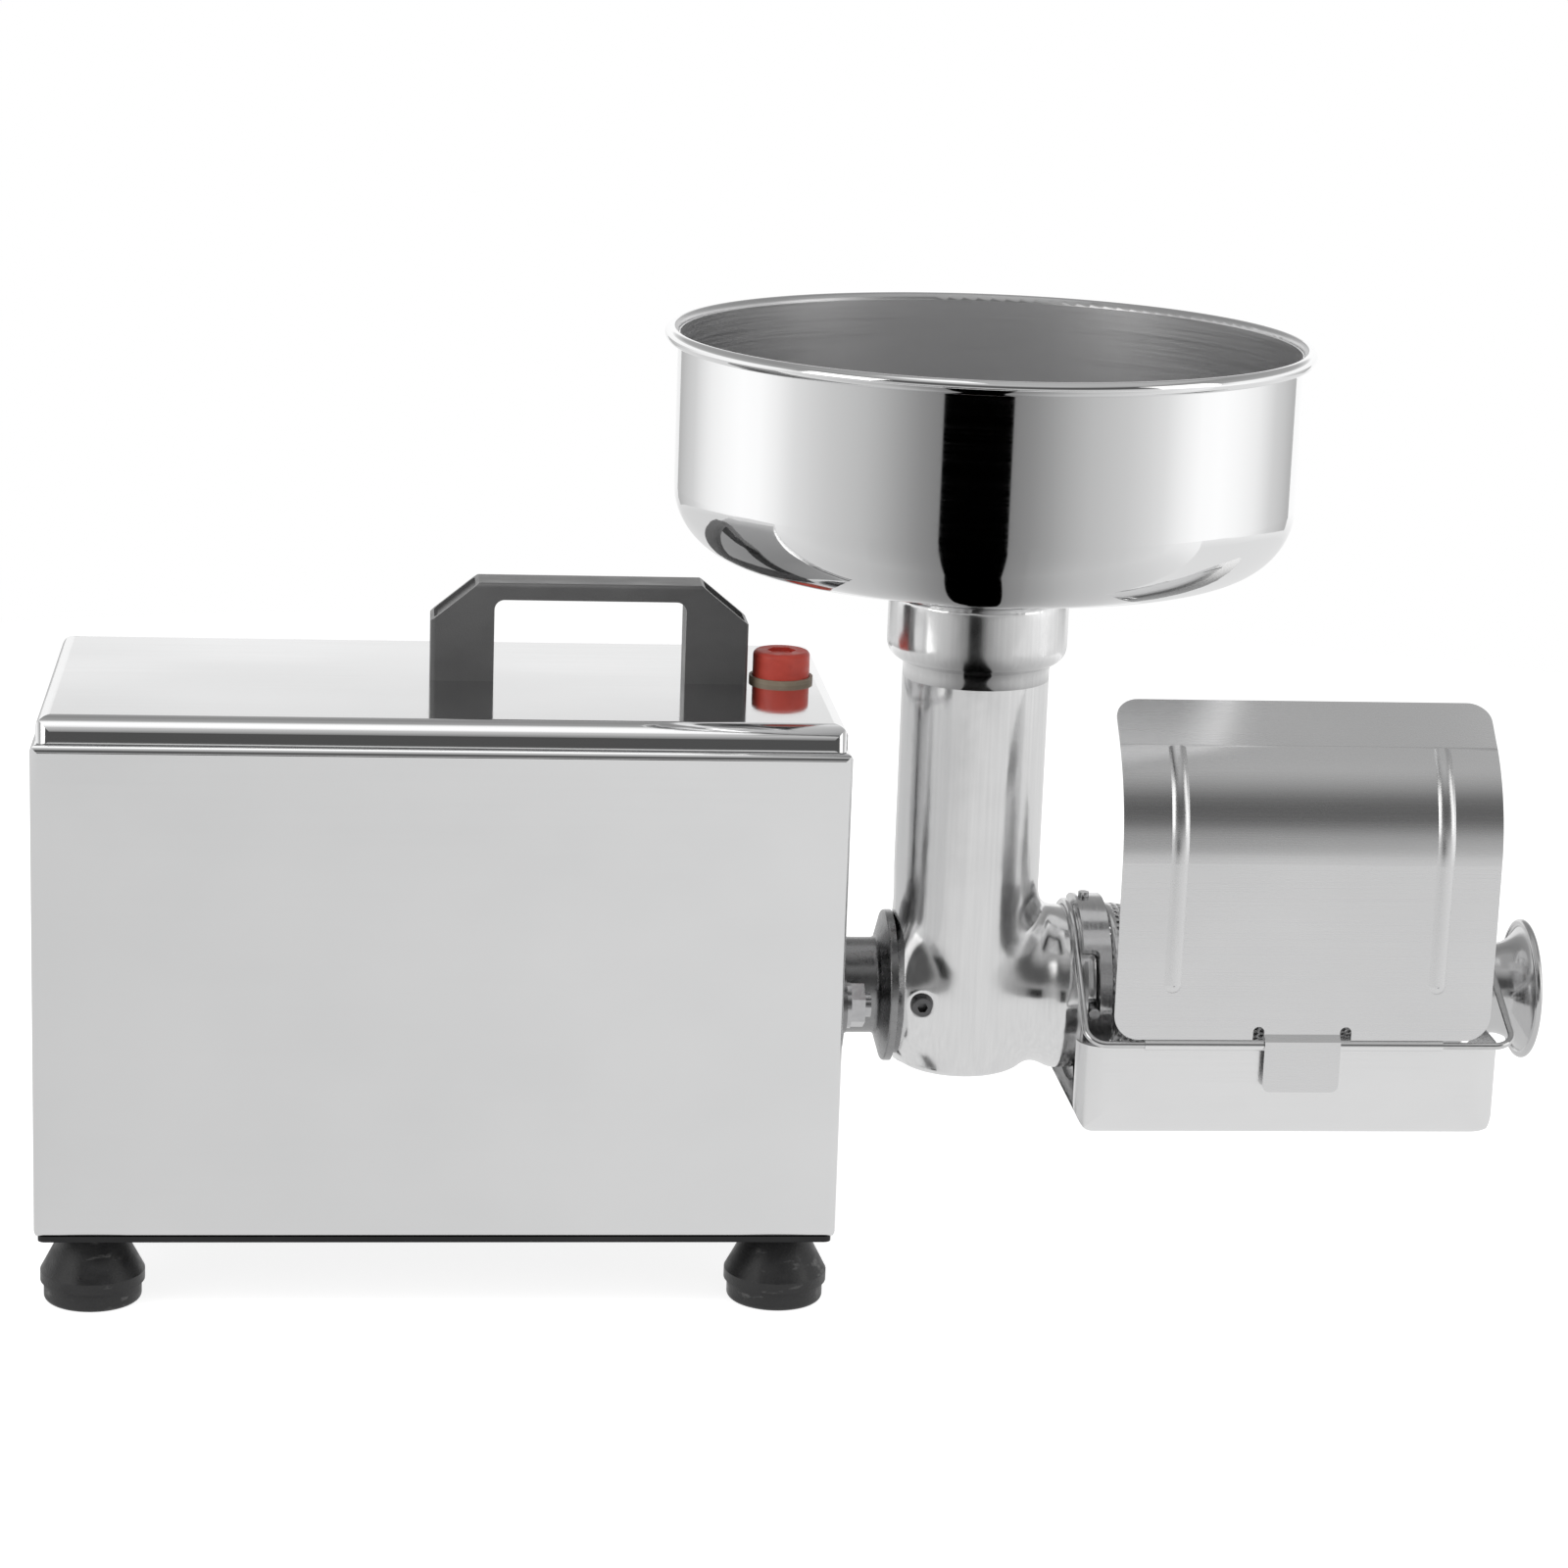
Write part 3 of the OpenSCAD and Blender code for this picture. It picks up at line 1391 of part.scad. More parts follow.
housing_shell();
lid();
base_plate();
foot_front_left();
foot_front_right();
foot_rear_left();
foot_rear_right();
foot_screws();
carry_handle();
handle_screws();
switch_body();
switch_collar();
switch_cap();
cable_gland();
motor_casing();
stator_core();
motor_front_bell();
motor_rear_bell();
motor_bearings();
rotor_core();
motor_shaft();
cooling_fan();
fan_cover();
motor_bracket();
capacitor();
capacitor_clip();
gearbox_case();
gearbox_cover();
gearbox_bolts();
layshaft();
stage_gear();
layshaft_bearings();
output_gear();
output_shaft();
output_bearings();
drive_neck();
mounting_studs();
mounting_washers();
mounting_nuts();
head_body();
lock_screw();
bayonet_pins();
hopper_pan();
hopper_spigot();
auger();
auger_flight();
strainer_collar();
strainer_screen();
discharge_spout();
wire_frame();
drip_tray();
splash_guard();
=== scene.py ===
import math

import bmesh
import bpy
import numpy as np
from mathutils import Matrix, Vector


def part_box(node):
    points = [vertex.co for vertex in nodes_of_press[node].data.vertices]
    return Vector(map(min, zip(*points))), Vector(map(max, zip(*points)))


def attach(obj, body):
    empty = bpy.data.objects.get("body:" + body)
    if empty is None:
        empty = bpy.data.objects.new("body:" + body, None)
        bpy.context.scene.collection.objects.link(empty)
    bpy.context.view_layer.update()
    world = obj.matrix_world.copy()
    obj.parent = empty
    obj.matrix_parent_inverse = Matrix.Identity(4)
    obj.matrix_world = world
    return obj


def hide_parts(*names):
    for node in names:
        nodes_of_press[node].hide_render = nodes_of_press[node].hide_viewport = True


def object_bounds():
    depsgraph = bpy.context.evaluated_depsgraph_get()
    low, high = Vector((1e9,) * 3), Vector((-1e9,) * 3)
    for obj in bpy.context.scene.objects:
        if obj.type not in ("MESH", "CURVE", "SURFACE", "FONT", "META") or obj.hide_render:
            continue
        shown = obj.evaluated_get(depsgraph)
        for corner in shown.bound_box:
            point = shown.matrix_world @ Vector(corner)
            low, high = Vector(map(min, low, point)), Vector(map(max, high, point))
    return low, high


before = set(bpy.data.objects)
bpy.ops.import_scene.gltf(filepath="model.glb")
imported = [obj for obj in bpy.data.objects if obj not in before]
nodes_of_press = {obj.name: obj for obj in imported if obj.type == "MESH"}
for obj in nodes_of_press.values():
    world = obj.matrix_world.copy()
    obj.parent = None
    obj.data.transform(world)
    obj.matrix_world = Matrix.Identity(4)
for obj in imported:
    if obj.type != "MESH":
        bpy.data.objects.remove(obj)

cad_low, cad_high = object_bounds()

# Studio
# A white floor that runs into a white backdrop, with soft boxes above and at both sides. The
# camera has a long lens and looks at the long side from a little above the press, turned right.
mm = 0.001
CAMERA_PLACE = (-191.6 * mm, -1756 * mm, 650.7 * mm)
CAMERA_YAW = math.radians(5.92)
CAMERA_PITCH = math.radians(13.94)
CAMERA_ROLL = math.radians(2.03)
CAMERA_LENS = 96.2
CAMERA_SENSOR_WIDTH = 36
FLOOR_REACH, FLOOR_GAP = 9.0, 0.2 * mm
FLOOR_WHITE = (0.93, 0.93, 0.93, 1)
ROOM_LIGHT = 0.62
LAMP_COLOUR = (1.0, 0.995, 0.985)
# The floor glows where it is seen, to meet the backdrop without an edge. Near the press the glow
# is mixed with the lit floor, which keeps the shadow: distances, share of glow and strength.
SEEN_FADE, NEAR_SHARE, NEAR_GLOW = (0.35, 1.4), 0.5, 1.72
# Metal sees a floor that darkens near the press and to its left: distances and strength, then
# places along X and strengths
MIRRORED_FADE, MIRRORED_NEAR_GLOW = (1.2, 1.9), 0.77
MIRRORED_SIDES, MIRRORED_GLOWS = (-0.38, 0.06), (0.93, 1.04)
# The room as metal mirrors it, in front of the press and behind it: height of the direction
# (-1 to 1) and its grey. One fades into the other between these Y of the direction.
FRONT_FADE = (-0.05, -0.45)
FRONT_TONES = ((-0.2, 0.92), (0.0, 0.66), (0.14, 0.44), (0.3, 0.09), (0.58, 0.09), (0.7, 0.3),
    (0.86, 0.55), (0.93, 0.66), (0.97, 0.95), (1.0, 1.3))
BACK_TONES = ((-0.2, 1.0), (0.2, 1.06), (0.215, 0.95), (0.237, 0.79), (0.26, 0.66), (0.34, 0.42),
    (0.75, 0.3), (0.93, 0.4), (0.97, 1.1), (1.0, 1.3))

camera = bpy.data.objects.new("camera", bpy.data.cameras.new("camera"))
bpy.context.scene.collection.objects.link(camera)
camera.data.lens = CAMERA_LENS
camera.data.sensor_width = CAMERA_SENSOR_WIDTH
camera.matrix_world = (
    Matrix.Translation(CAMERA_PLACE)
    @ Matrix.Rotation(-CAMERA_YAW, 4, "Z")
    @ Matrix.Rotation(math.pi / 2 - CAMERA_PITCH, 4, "X")
    @ Matrix.Rotation(CAMERA_ROLL, 4, "Z")
)
bpy.context.scene.camera = camera
bpy.context.scene.view_settings.view_transform = "Standard"


def calculate(tree, operation, *values):
    """One Math node; each value is a socket or a number"""
    node = tree.nodes.new("ShaderNodeMath")
    node.operation = operation
    for socket, value in zip(node.inputs, values):
        if isinstance(value, bpy.types.NodeSocket):
            tree.links.new(value, socket)
        else:
            socket.default_value = value
    return node.outputs[0]


def map_range(tree, value, low, high, first, last):
    """A value between low and high becomes one between first and last"""
    node = tree.nodes.new("ShaderNodeMapRange")
    for name, number in (("From Min", low), ("From Max", high), ("To Min", first),
            ("To Max", last)):
        node.inputs[name].default_value = number
    tree.links.new(value, node.inputs["Value"])
    return node.outputs["Result"]


def tone_ramp(tree, value, tones):
    """Greys that follow a value: tones pairs each value with its grey, lowest value first"""
    low, high = tones[0][0], tones[-1][0]
    ramp = tree.nodes.new("ShaderNodeValToRGB")
    stops = ramp.color_ramp.elements
    stops.remove(stops[1])
    stops[0].color = (tones[0][1],) * 3 + (1,)
    for place, tone in tones[1:]:
        stops.new((place - low) / (high - low)).color = (tone, tone, tone, 1)
    tree.links.new(map_range(tree, value, low, high, 0, 1), ramp.inputs["Fac"])
    return ramp.outputs["Color"]


def blend_colours(tree, share, first, second):
    """A colour between two; each is a socket or three numbers. The Mix node names its colour
    sockets as it names its number sockets, so they are taken by their place."""
    mix = tree.nodes.new("ShaderNodeMix")
    mix.data_type = "RGBA"
    tree.links.new(share, mix.inputs["Factor"])
    for socket, colour in ((mix.inputs[6], first), (mix.inputs[7], second)):
        if isinstance(colour, bpy.types.NodeSocket):
            tree.links.new(colour, socket)
        else:
            socket.default_value = (*colour, 1)
    return mix.outputs[2]


def blend_shaders(tree, share, first, second):
    """A mix of two shaders, where a share of 1 is all of the second"""
    mix = tree.nodes.new("ShaderNodeMixShader")
    for value, socket in zip((share, first, second), mix.inputs):
        tree.links.new(value, socket)
    return mix.outputs[0]


def ray_is(tree, kind):
    """1 for a ray of this kind and 0 for others"""
    return tree.nodes.new("ShaderNodeLightPath").outputs["Is " + kind + " Ray"]


def in_metal_or_glass(tree):
    """1 for what metal mirrors or glass lets through, and 0 for light on matt faces"""
    return calculate(tree, "MAXIMUM", ray_is(tree, "Glossy"), ray_is(tree, "Transmission"))


def split(tree, vector):
    """The X, Y and Z of a vector"""
    node = tree.nodes.new("ShaderNodeSeparateXYZ")
    tree.links.new(vector, node.inputs[0])
    return node.outputs


def add_soft_box(name, place, aim, width, height, watts, mirrored=True):
    """A large square lamp that looks at a point; mirrored says whether metal shows it"""
    lamp = bpy.data.lights.new(name, "AREA")
    lamp.shape = "RECTANGLE"
    lamp.size, lamp.size_y = width, height
    lamp.energy = watts
    lamp.color = LAMP_COLOUR
    lamp_object = bpy.data.objects.new(name, lamp)
    lamp_object.location = place
    way = Vector(aim) - Vector(place)
    lamp_object.rotation_euler = way.to_track_quat("-Z", "Y").to_euler()
    lamp_object.visible_glossy = mirrored
    bpy.context.scene.collection.objects.link(lamp_object)


world = bpy.data.worlds.new("white_room")
bpy.context.scene.world = world
world.use_nodes = True
tree = world.node_tree
room = tree.nodes["Background"]
room.inputs["Color"].default_value = (1, 1, 1, 1)
room.inputs["Strength"].default_value = ROOM_LIGHT
backdrop = tree.nodes.new("ShaderNodeBackground")
way = split(tree, tree.nodes.new("ShaderNodeTexCoord").outputs["Generated"])
mirrored_room = blend_colours(tree, map_range(tree, way["Y"], *FRONT_FADE, 0, 1),
    tone_ramp(tree, way["Z"], BACK_TONES), tone_ramp(tree, way["Z"], FRONT_TONES))
tree.links.new(blend_colours(tree, ray_is(tree, "Glossy"), (1, 1, 1), mirrored_room),
    backdrop.inputs["Color"])
seen = calculate(tree, "MAXIMUM", ray_is(tree, "Camera"), in_metal_or_glass(tree))
tree.links.new(blend_shaders(tree, seen, room.outputs[0], backdrop.outputs[0]),
    tree.nodes["World Output"].inputs["Surface"])

add_soft_box("soft_box_above", (-0.2, -0.7, 2.4), aim=(0, 0, 0.2), width=2.2, height=2.0,
    watts=26, mirrored=False)
add_soft_box("soft_box_left", (-2.3, -1.3, 1.3), aim=(0, 0, 0.2), width=1.4, height=1.8, watts=12)
add_soft_box("soft_box_right", (2.3, -1.1, 1.1), aim=(0.1, 0, 0.2), width=1.2, height=1.8, watts=8)

bpy.ops.mesh.primitive_plane_add(size=2 * FLOOR_REACH, location=(0, 0, cad_low.z - FLOOR_GAP))
floor = bpy.context.object
floor.name = "studio_floor"
floor_white = bpy.data.materials.new("floor_white")
floor_white.use_nodes = True
tree = floor_white.node_tree
paint = tree.nodes["Principled BSDF"]
paint.inputs["Base Color"].default_value = FLOOR_WHITE
paint.inputs["Roughness"].default_value = 0.9
glow = tree.nodes.new("ShaderNodeEmission")
place = tree.nodes.new("ShaderNodeTexCoord").outputs["Object"]
away = tree.nodes.new("ShaderNodeVectorMath")
away.operation = "LENGTH"
tree.links.new(place, away.inputs[0])
distance = away.outputs["Value"]
by_camera = ray_is(tree, "Camera")
glow_share = calculate(tree, "MAXIMUM", in_metal_or_glass(tree), calculate(tree, "MULTIPLY",
    by_camera, map_range(tree, distance, *SEEN_FADE, NEAR_SHARE, 1.0)))
seen_glow = calculate(tree, "MULTIPLY", by_camera,
    map_range(tree, distance, *SEEN_FADE, NEAR_GLOW, 1.0))
mirrored_glow = calculate(tree, "MULTIPLY",
    map_range(tree, distance, *MIRRORED_FADE, MIRRORED_NEAR_GLOW, 1.0),
    map_range(tree, split(tree, place)["X"], *MIRRORED_SIDES, *MIRRORED_GLOWS))
tree.links.new(calculate(tree, "ADD", seen_glow, calculate(tree, "MULTIPLY",
    calculate(tree, "SUBTRACT", 1.0, by_camera), mirrored_glow)), glow.inputs["Strength"])
tree.links.new(blend_shaders(tree, glow_share, paint.outputs[0], glow.outputs[0]),
    tree.nodes["Material Output"].inputs["Surface"])
floor.data.materials.append(floor_white)

# Cards that only metal sees: a flat one below the pan's front, seen from above alone, and a low
# screen all round. They give the pan its black stripe between two grey wings.
CARD_MIDDLE = (61.7 * mm, -65.2 * mm)
CARD_TURN = math.radians(-11.5)
CARD_HEIGHT = 262 * mm
CARD_REACH, CARD_LEFT, CARD_RIGHT = 430 * mm, -76, 87
CARD_STEM = ((75 * mm, 22 * mm), (75 * mm, -90 * mm), (-75 * mm, -90 * mm), (-75 * mm, 40 * mm))
SCREEN_REACH, SCREEN_SPREAD, SCREEN_HEIGHT, SCREEN_STEP = 1.45, 150, 0.33, 2
# Degrees to either side of the cards' middle line and the grey there. Close to the middle the
# angle is taken from further back, so that the stripes don't shrink to a point: the least
# distance ahead, and the share of the true one that is added to it.
CARD_TONES = ((0, 0.0), (12.3, 0.0), (12.7, 0.23), (20, 0.29), (27, 0.37), (34, 0.46), (41, 0.54),
    (55, 0.64), (62, 0.71), (70, 0.8), (78, 0.97), (86, 1.09), (91, 1.12), (96, 1.06), (102, 0.95),
    (110, 0.7), (125, 0.5))
LEAST_AHEAD, AHEAD_ADDED = 50 * mm, 0.5


def card_corner(aside, ahead, z):
    """A corner of a card, measured from its own middle line"""
    return (CARD_MIDDLE[0] + aside * math.cos(CARD_TURN) + ahead * math.sin(CARD_TURN),
        CARD_MIDDLE[1] + aside * math.sin(CARD_TURN) - ahead * math.cos(CARD_TURN), z)


def arc_corner(reach, degrees, z):
    """A corner on the arc round the cards' middle, this many degrees to the right"""
    turn = math.radians(degrees)
    return card_corner(reach * math.sin(turn), reach * math.cos(turn), z)


card_grey = bpy.data.materials.new("card_grey")
card_grey.use_nodes = True
tree = card_grey.node_tree
tree.nodes.remove(tree.nodes["Principled BSDF"])
turned = tree.nodes.new("ShaderNodeMapping")
turned.vector_type = "TEXTURE"
turned.inputs["Location"].default_value = (*CARD_MIDDLE, 0)
turned.inputs["Rotation"].default_value = (0, 0, CARD_TURN)
tree.links.new(tree.nodes.new("ShaderNodeTexCoord").outputs["Object"], turned.inputs["Vector"])
place = split(tree, turned.outputs["Vector"])
ahead = calculate(tree, "MULTIPLY", place["Y"], -1.0)
from_back = calculate(tree, "ADD", calculate(tree, "MULTIPLY", ahead, AHEAD_ADDED), LEAST_AHEAD)
off_middle = calculate(tree, "ABSOLUTE", calculate(tree, "DEGREES",
    calculate(tree, "ARCTAN2", place["X"], calculate(tree, "MAXIMUM", ahead, from_back))))
glow = tree.nodes.new("ShaderNodeEmission")
tree.links.new(tone_ramp(tree, off_middle, CARD_TONES), glow.inputs["Color"])
clear = tree.nodes.new("ShaderNodeBsdfTransparent")
tree.links.new(blend_shaders(tree, tree.nodes.new("ShaderNodeNewGeometry").outputs["Backfacing"],
    glow.outputs[0], clear.outputs[0]), tree.nodes["Material Output"].inputs["Surface"])

flat_corners = [arc_corner(CARD_REACH, degrees, CARD_HEIGHT)
    for degrees in range(CARD_LEFT, CARD_RIGHT + 1)]
flat_corners += [card_corner(aside, ahead, CARD_HEIGHT) for aside, ahead in CARD_STEM]
screen_corners = [arc_corner(SCREEN_REACH, degrees, z)
    for degrees in range(-SCREEN_SPREAD, SCREEN_SPREAD + 1, SCREEN_STEP)
    for z in (0, SCREEN_HEIGHT)]
card_corners = flat_corners + screen_corners
screen_faces = [(i, i + 1, i + 3, i + 2)
    for i in range(len(flat_corners), len(card_corners) - 2, 2)]
cards = bpy.data.meshes.new("cards")
cards.from_pydata(card_corners, [], [range(len(flat_corners))] + screen_faces)
cards.materials.append(card_grey)
studio_cards = bpy.data.objects.new("studio_cards", cards)

# A grey card above the guard, which keeps the bright ceiling out of its lip
CEILING_HEIGHT, CEILING_TONE = 0.85, (0.47, 0.47, 0.47, 1)
CEILING_SIDES, CEILING_ENDS = (30 * mm, 470 * mm), (-340 * mm, 260 * mm)
ceiling_grey = bpy.data.materials.new("ceiling_grey")
ceiling_grey.use_nodes = True
tree = ceiling_grey.node_tree
tree.nodes.remove(tree.nodes["Principled BSDF"])
glow = tree.nodes.new("ShaderNodeEmission")
glow.inputs["Color"].default_value = CEILING_TONE
tree.links.new(glow.outputs[0], tree.nodes["Material Output"].inputs["Surface"])
ceiling = bpy.data.meshes.new("ceiling")
ceiling.from_pydata([(x, y, CEILING_HEIGHT) for x in CEILING_SIDES for y in CEILING_ENDS], [],
    [(0, 1, 3, 2)])
ceiling.materials.append(ceiling_grey)
ceiling_card = bpy.data.objects.new("ceiling_card", ceiling)
for card in (studio_cards, ceiling_card):
    bpy.context.scene.collection.objects.link(card)
    for hidden_from in ("camera", "diffuse", "transmission", "volume_scatter", "shadow"):
        setattr(card, "visible_" + hidden_from, False)

# Housing
# The box is bent from 1.2 mm stainless sheet with a mirror finish, open below. Its lid is a second
# sheet whose lip laps the front and back, and the base plate closes it from underneath.
NOISE_MIDDLE = (0.3, 0.7)


def new_finish(name, metallic, roughness):
    """A material and its shader, with these even values until nodes are joined on"""
    material = bpy.data.materials.new(name)
    material.use_nodes = True
    shader = material.node_tree.nodes["Principled BSDF"]
    shader.inputs["Metallic"].default_value = metallic
    shader.inputs["Roughness"].default_value = roughness
    return material


def grain(material, lengths, detail=2.0):
    """Noise on Object coordinates, with features about this long in metres along X, Y and Z"""
    tree = material.node_tree
    place = tree.nodes.new("ShaderNodeTexCoord")
    stretch = tree.nodes.new("ShaderNodeMapping")
    stretch.inputs["Scale"].default_value = [1 / length for length in lengths]
    noise = tree.nodes.new("ShaderNodeTexNoise")
    noise.inputs["Scale"].default_value = 1.0
    noise.inputs["Detail"].default_value = detail
    tree.links.new(place.outputs["Object"], stretch.inputs["Vector"])
    tree.links.new(stretch.outputs["Vector"], noise.inputs["Vector"])
    return noise.outputs["Fac"]


def spread(material, value, low, high):
    """Turns the middle of a noise's range into low to high"""
    return map_range(material.node_tree, value, *NOISE_MIDDLE, low, high)


def vary_colour(material, value, first, second):
    """Base colour between two tones"""
    tree = material.node_tree
    tree.links.new(blend_colours(tree, value, first, second),
        tree.nodes["Principled BSDF"].inputs["Base Color"])


def vary_roughness(material, value, low, high):
    """Roughness from low to high over the middle of a noise's range"""
    shader = material.node_tree.nodes["Principled BSDF"]
    material.node_tree.links.new(spread(material, value, low, high), shader.inputs["Roughness"])


def raise_relief(material, value, height):
    """Bump of this height in metres, on top of any relief that is there already"""
    tree = material.node_tree
    bump = tree.nodes.new("ShaderNodeBump")
    bump.inputs["Strength"].default_value = 1.0
    bump.inputs["Distance"].default_value = height
    tree.links.new(value, bump.inputs["Height"])
    normal = tree.nodes["Principled BSDF"].inputs["Normal"]
    if normal.is_linked:
        tree.links.new(normal.links[0].from_socket, bump.inputs["Normal"])
    tree.links.new(bump.outputs["Normal"], normal)


def rolled_steel(name, dark, light, rough, lines, scratch, waves, wave_height):
    """Stainless sheet: polishing lines, small smudges and the slow waves of thin bent sheet"""
    material = new_finish(name, metallic=1.0, roughness=rough[0])
    line_noise = grain(material, lines, detail=3.0)
    smudge = grain(material, (60 * mm, 45 * mm, 45 * mm), detail=4.0)
    vary_colour(material, smudge, dark, light)
    vary_roughness(material, line_noise, *rough)
    raise_relief(material, grain(material, waves, detail=1.0), height=wave_height)
    raise_relief(material, line_noise, height=scratch)
    return material


def dress(material, *names):
    """Gives CAD nodes a material"""
    for name in names:
        node = nodes_of_press[name]
        node.data.materials.clear()
        node.data.materials.append(material)


mirror_sheet = rolled_steel("mirror_sheet", dark=(0.78, 0.783, 0.786), light=(0.84, 0.84, 0.842),
    rough=(0.05, 0.1), lines=(90 * mm, 1.2 * mm, 1.2 * mm), scratch=0.004 * mm,
    waves=(160 * mm, 120 * mm, 120 * mm), wave_height=0.35 * mm)
dress(mirror_sheet, "housing_shell")
# The lid's upright lip mirrors as if it leaned back, so it shows the dark room and not the floor
LIP_LEAN = math.tan(math.radians(22))
lid_sheet = mirror_sheet.copy()
lid_sheet.name = "lid_sheet"
tree = lid_sheet.node_tree
level = split(tree, tree.nodes.new("ShaderNodeTexCoord").outputs["Object"])["Z"]
raise_relief(lid_sheet, level, height=-LIP_LEAN)
dress(lid_sheet, "lid")
# The base plate's near-black tone is painted shade, for the shadowed gap under the box's lower
# edge.
base_painted_shade = rolled_steel("base_painted_shade", dark=(0.03, 0.03, 0.031), light=(0.06, 0.06, 0.061),
    rough=(0.3, 0.45), lines=(40 * mm, 1.5 * mm, 1.5 * mm), scratch=0.02 * mm,
    waves=(120 * mm, 120 * mm, 120 * mm), wave_height=0.2 * mm)
dress(base_painted_shade, "base_plate")

# Feet
# Four moulded rubber cones with a rolled lower bead, each held by a pan-head screw through the
# base plate. The rubber is black with a low shine, a little dust and a few grey scuffs.
CLEAN_RUBBER, DUSTY_RUBBER = (0.006, 0.006, 0.0065), (0.028, 0.028, 0.029)
SCUFFED_RUBBER, SCUFFS_FROM, SCUFFS_FULL = (0.15, 0.15, 0.148), 0.62, 0.8
foot_rubber = new_finish("foot_rubber", metallic=0.0, roughness=0.62)
rubber_dust = grain(foot_rubber, (9 * mm, 9 * mm, 6 * mm), detail=5.0)
rubber_scuffs = map_range(foot_rubber.node_tree,
    grain(foot_rubber, (13 * mm, 6 * mm, 4 * mm), detail=8.0), SCUFFS_FROM, SCUFFS_FULL, 0, 1)
vary_colour(foot_rubber, rubber_scuffs, blend_colours(foot_rubber.node_tree, rubber_dust,
    CLEAN_RUBBER, DUSTY_RUBBER), SCUFFED_RUBBER)
vary_roughness(foot_rubber, rubber_dust, low=0.27, high=0.5)
raise_relief(foot_rubber, grain(foot_rubber, (0.9 * mm, 0.9 * mm, 0.9 * mm)), height=0.12 * mm)
dress(foot_rubber, "foot_front_left", "foot_front_right", "foot_rear_left", "foot_rear_right")


def turned_steel(name, dark, light, rough, ring_length, ring_height):
    """Machined or plated metal: fine rings along the turning axis X, and a speckled tone"""
    material = new_finish(name, metallic=1.0, roughness=rough[0])
    ring_noise = grain(material, (ring_length, 40 * mm, 40 * mm), detail=2.0)
    speckle = grain(material, (3 * mm, 3 * mm, 3 * mm), detail=4.0)
    vary_colour(material, speckle, dark, light)
    vary_roughness(material, speckle, *rough)
    raise_relief(material, ring_noise, height=ring_height)
    return material


zinc = turned_steel("zinc_plated", dark=(0.5, 0.51, 0.52), light=(0.66, 0.67, 0.68),
    rough=(0.18, 0.34), ring_length=0.6 * mm, ring_height=0.02 * mm)
dress(zinc, "foot_screws", "handle_screws")

# Carrying handle
# One piece of glass-filled black nylon with a satin moulded skin, screwed down on the lid through
# both legs. The shoulders are hollow towards the lid.


def moulded(name, dark, light, rough, marks, detail, skin, skin_height):
    """Plastic or rubber from a mould: slow marks in its tone, and in its shine where rough holds
    two values, under the fine skin of the mould"""
    material = new_finish(name, metallic=0.0, roughness=rough[0])
    slow_marks = grain(material, marks, detail)
    vary_colour(material, slow_marks, dark, light)
    if rough[0] < rough[1]:
        vary_roughness(material, slow_marks, *rough)
    raise_relief(material, grain(material, (skin, skin, skin)), height=skin_height)
    return material


handle_plastic = moulded("handle_plastic", dark=(0.075, 0.075, 0.076), light=(0.125, 0.125, 0.126),
    rough=(0.28, 0.42), marks=(26 * mm, 12 * mm, 18 * mm), detail=3.0,
    skin=0.7 * mm, skin_height=0.05 * mm)
dress(handle_plastic, "carry_handle")

# Push switch
# A push switch clipped into the lid: black body under the sheet, an olive-grey ring on top and a
# soft red rubber cap over the button.
switch_plastic = moulded("switch_plastic", dark=(0.018, 0.018, 0.02), light=(0.034, 0.034, 0.036),
    rough=(0.45, 0.45), marks=(4 * mm, 4 * mm, 4 * mm), detail=2.0,
    skin=0.5 * mm, skin_height=0.04 * mm)
dress(switch_plastic, "switch_body")
ring_plastic = moulded("ring_plastic", dark=(0.3, 0.24, 0.17), light=(0.44, 0.37, 0.28),
    rough=(0.5, 0.5), marks=(5 * mm, 5 * mm, 2 * mm), detail=3.0,
    skin=0.5 * mm, skin_height=0.04 * mm)
dress(ring_plastic, "switch_collar")
red_rubber = moulded("red_rubber", dark=(0.63, 0.062, 0.041), light=(0.84, 0.115, 0.08),
    rough=(0.36, 0.6), marks=(5 * mm, 5 * mm, 3 * mm), detail=4.0,
    skin=0.8 * mm, skin_height=0.07 * mm)
dress(red_rubber, "switch_cap")

# Cable gland
# A black nylon gland screwed into the back wall, where the mains lead goes in. It is moulded in
# the same plastic as the switch's body.
dress(switch_plastic, "cable_gland")

# Motor
# A capacitor-run motor behind the gearbox: a painted steel casing with two cast end bells, a
# stack of iron laminations, a rotor on ball bearings, a cooling fan and a run capacitor.
motor_paint = new_finish("motor_paint", metallic=0.0, roughness=0.38)
orange_peel = grain(motor_paint, (1.6 * mm, 1.6 * mm, 1.6 * mm), detail=1.0)
vary_colour(motor_paint, grain(motor_paint, (30 * mm, 30 * mm, 30 * mm), detail=4.0),
    first=(0.03, 0.045, 0.055), second=(0.05, 0.07, 0.085))
vary_roughness(motor_paint, orange_peel, low=0.3, high=0.46)
raise_relief(motor_paint, orange_peel, height=0.05 * mm)
dress(motor_paint, "motor_casing", "motor_bracket")
core_iron = turned_steel("core_iron", dark=(0.2, 0.19, 0.18), light=(0.34, 0.33, 0.32),
    rough=(0.35, 0.55), ring_length=0.5 * mm, ring_height=0.25 * mm)
dress(core_iron, "stator_core", "rotor_core")


def cast_metal(name, dark, light, rough, pit, pit_height):
    """Sand or die casting: a pitted skin with slow changes of tone"""
    material = new_finish(name, metallic=1.0, roughness=rough[0])
    pits = grain(material, (pit, pit, pit), detail=3.0)
    tone = grain(material, (22 * mm, 22 * mm, 22 * mm), detail=3.0)
    vary_colour(material, tone, dark, light)
    vary_roughness(material, pits, *rough)
    raise_relief(material, pits, height=pit_height)
    return material


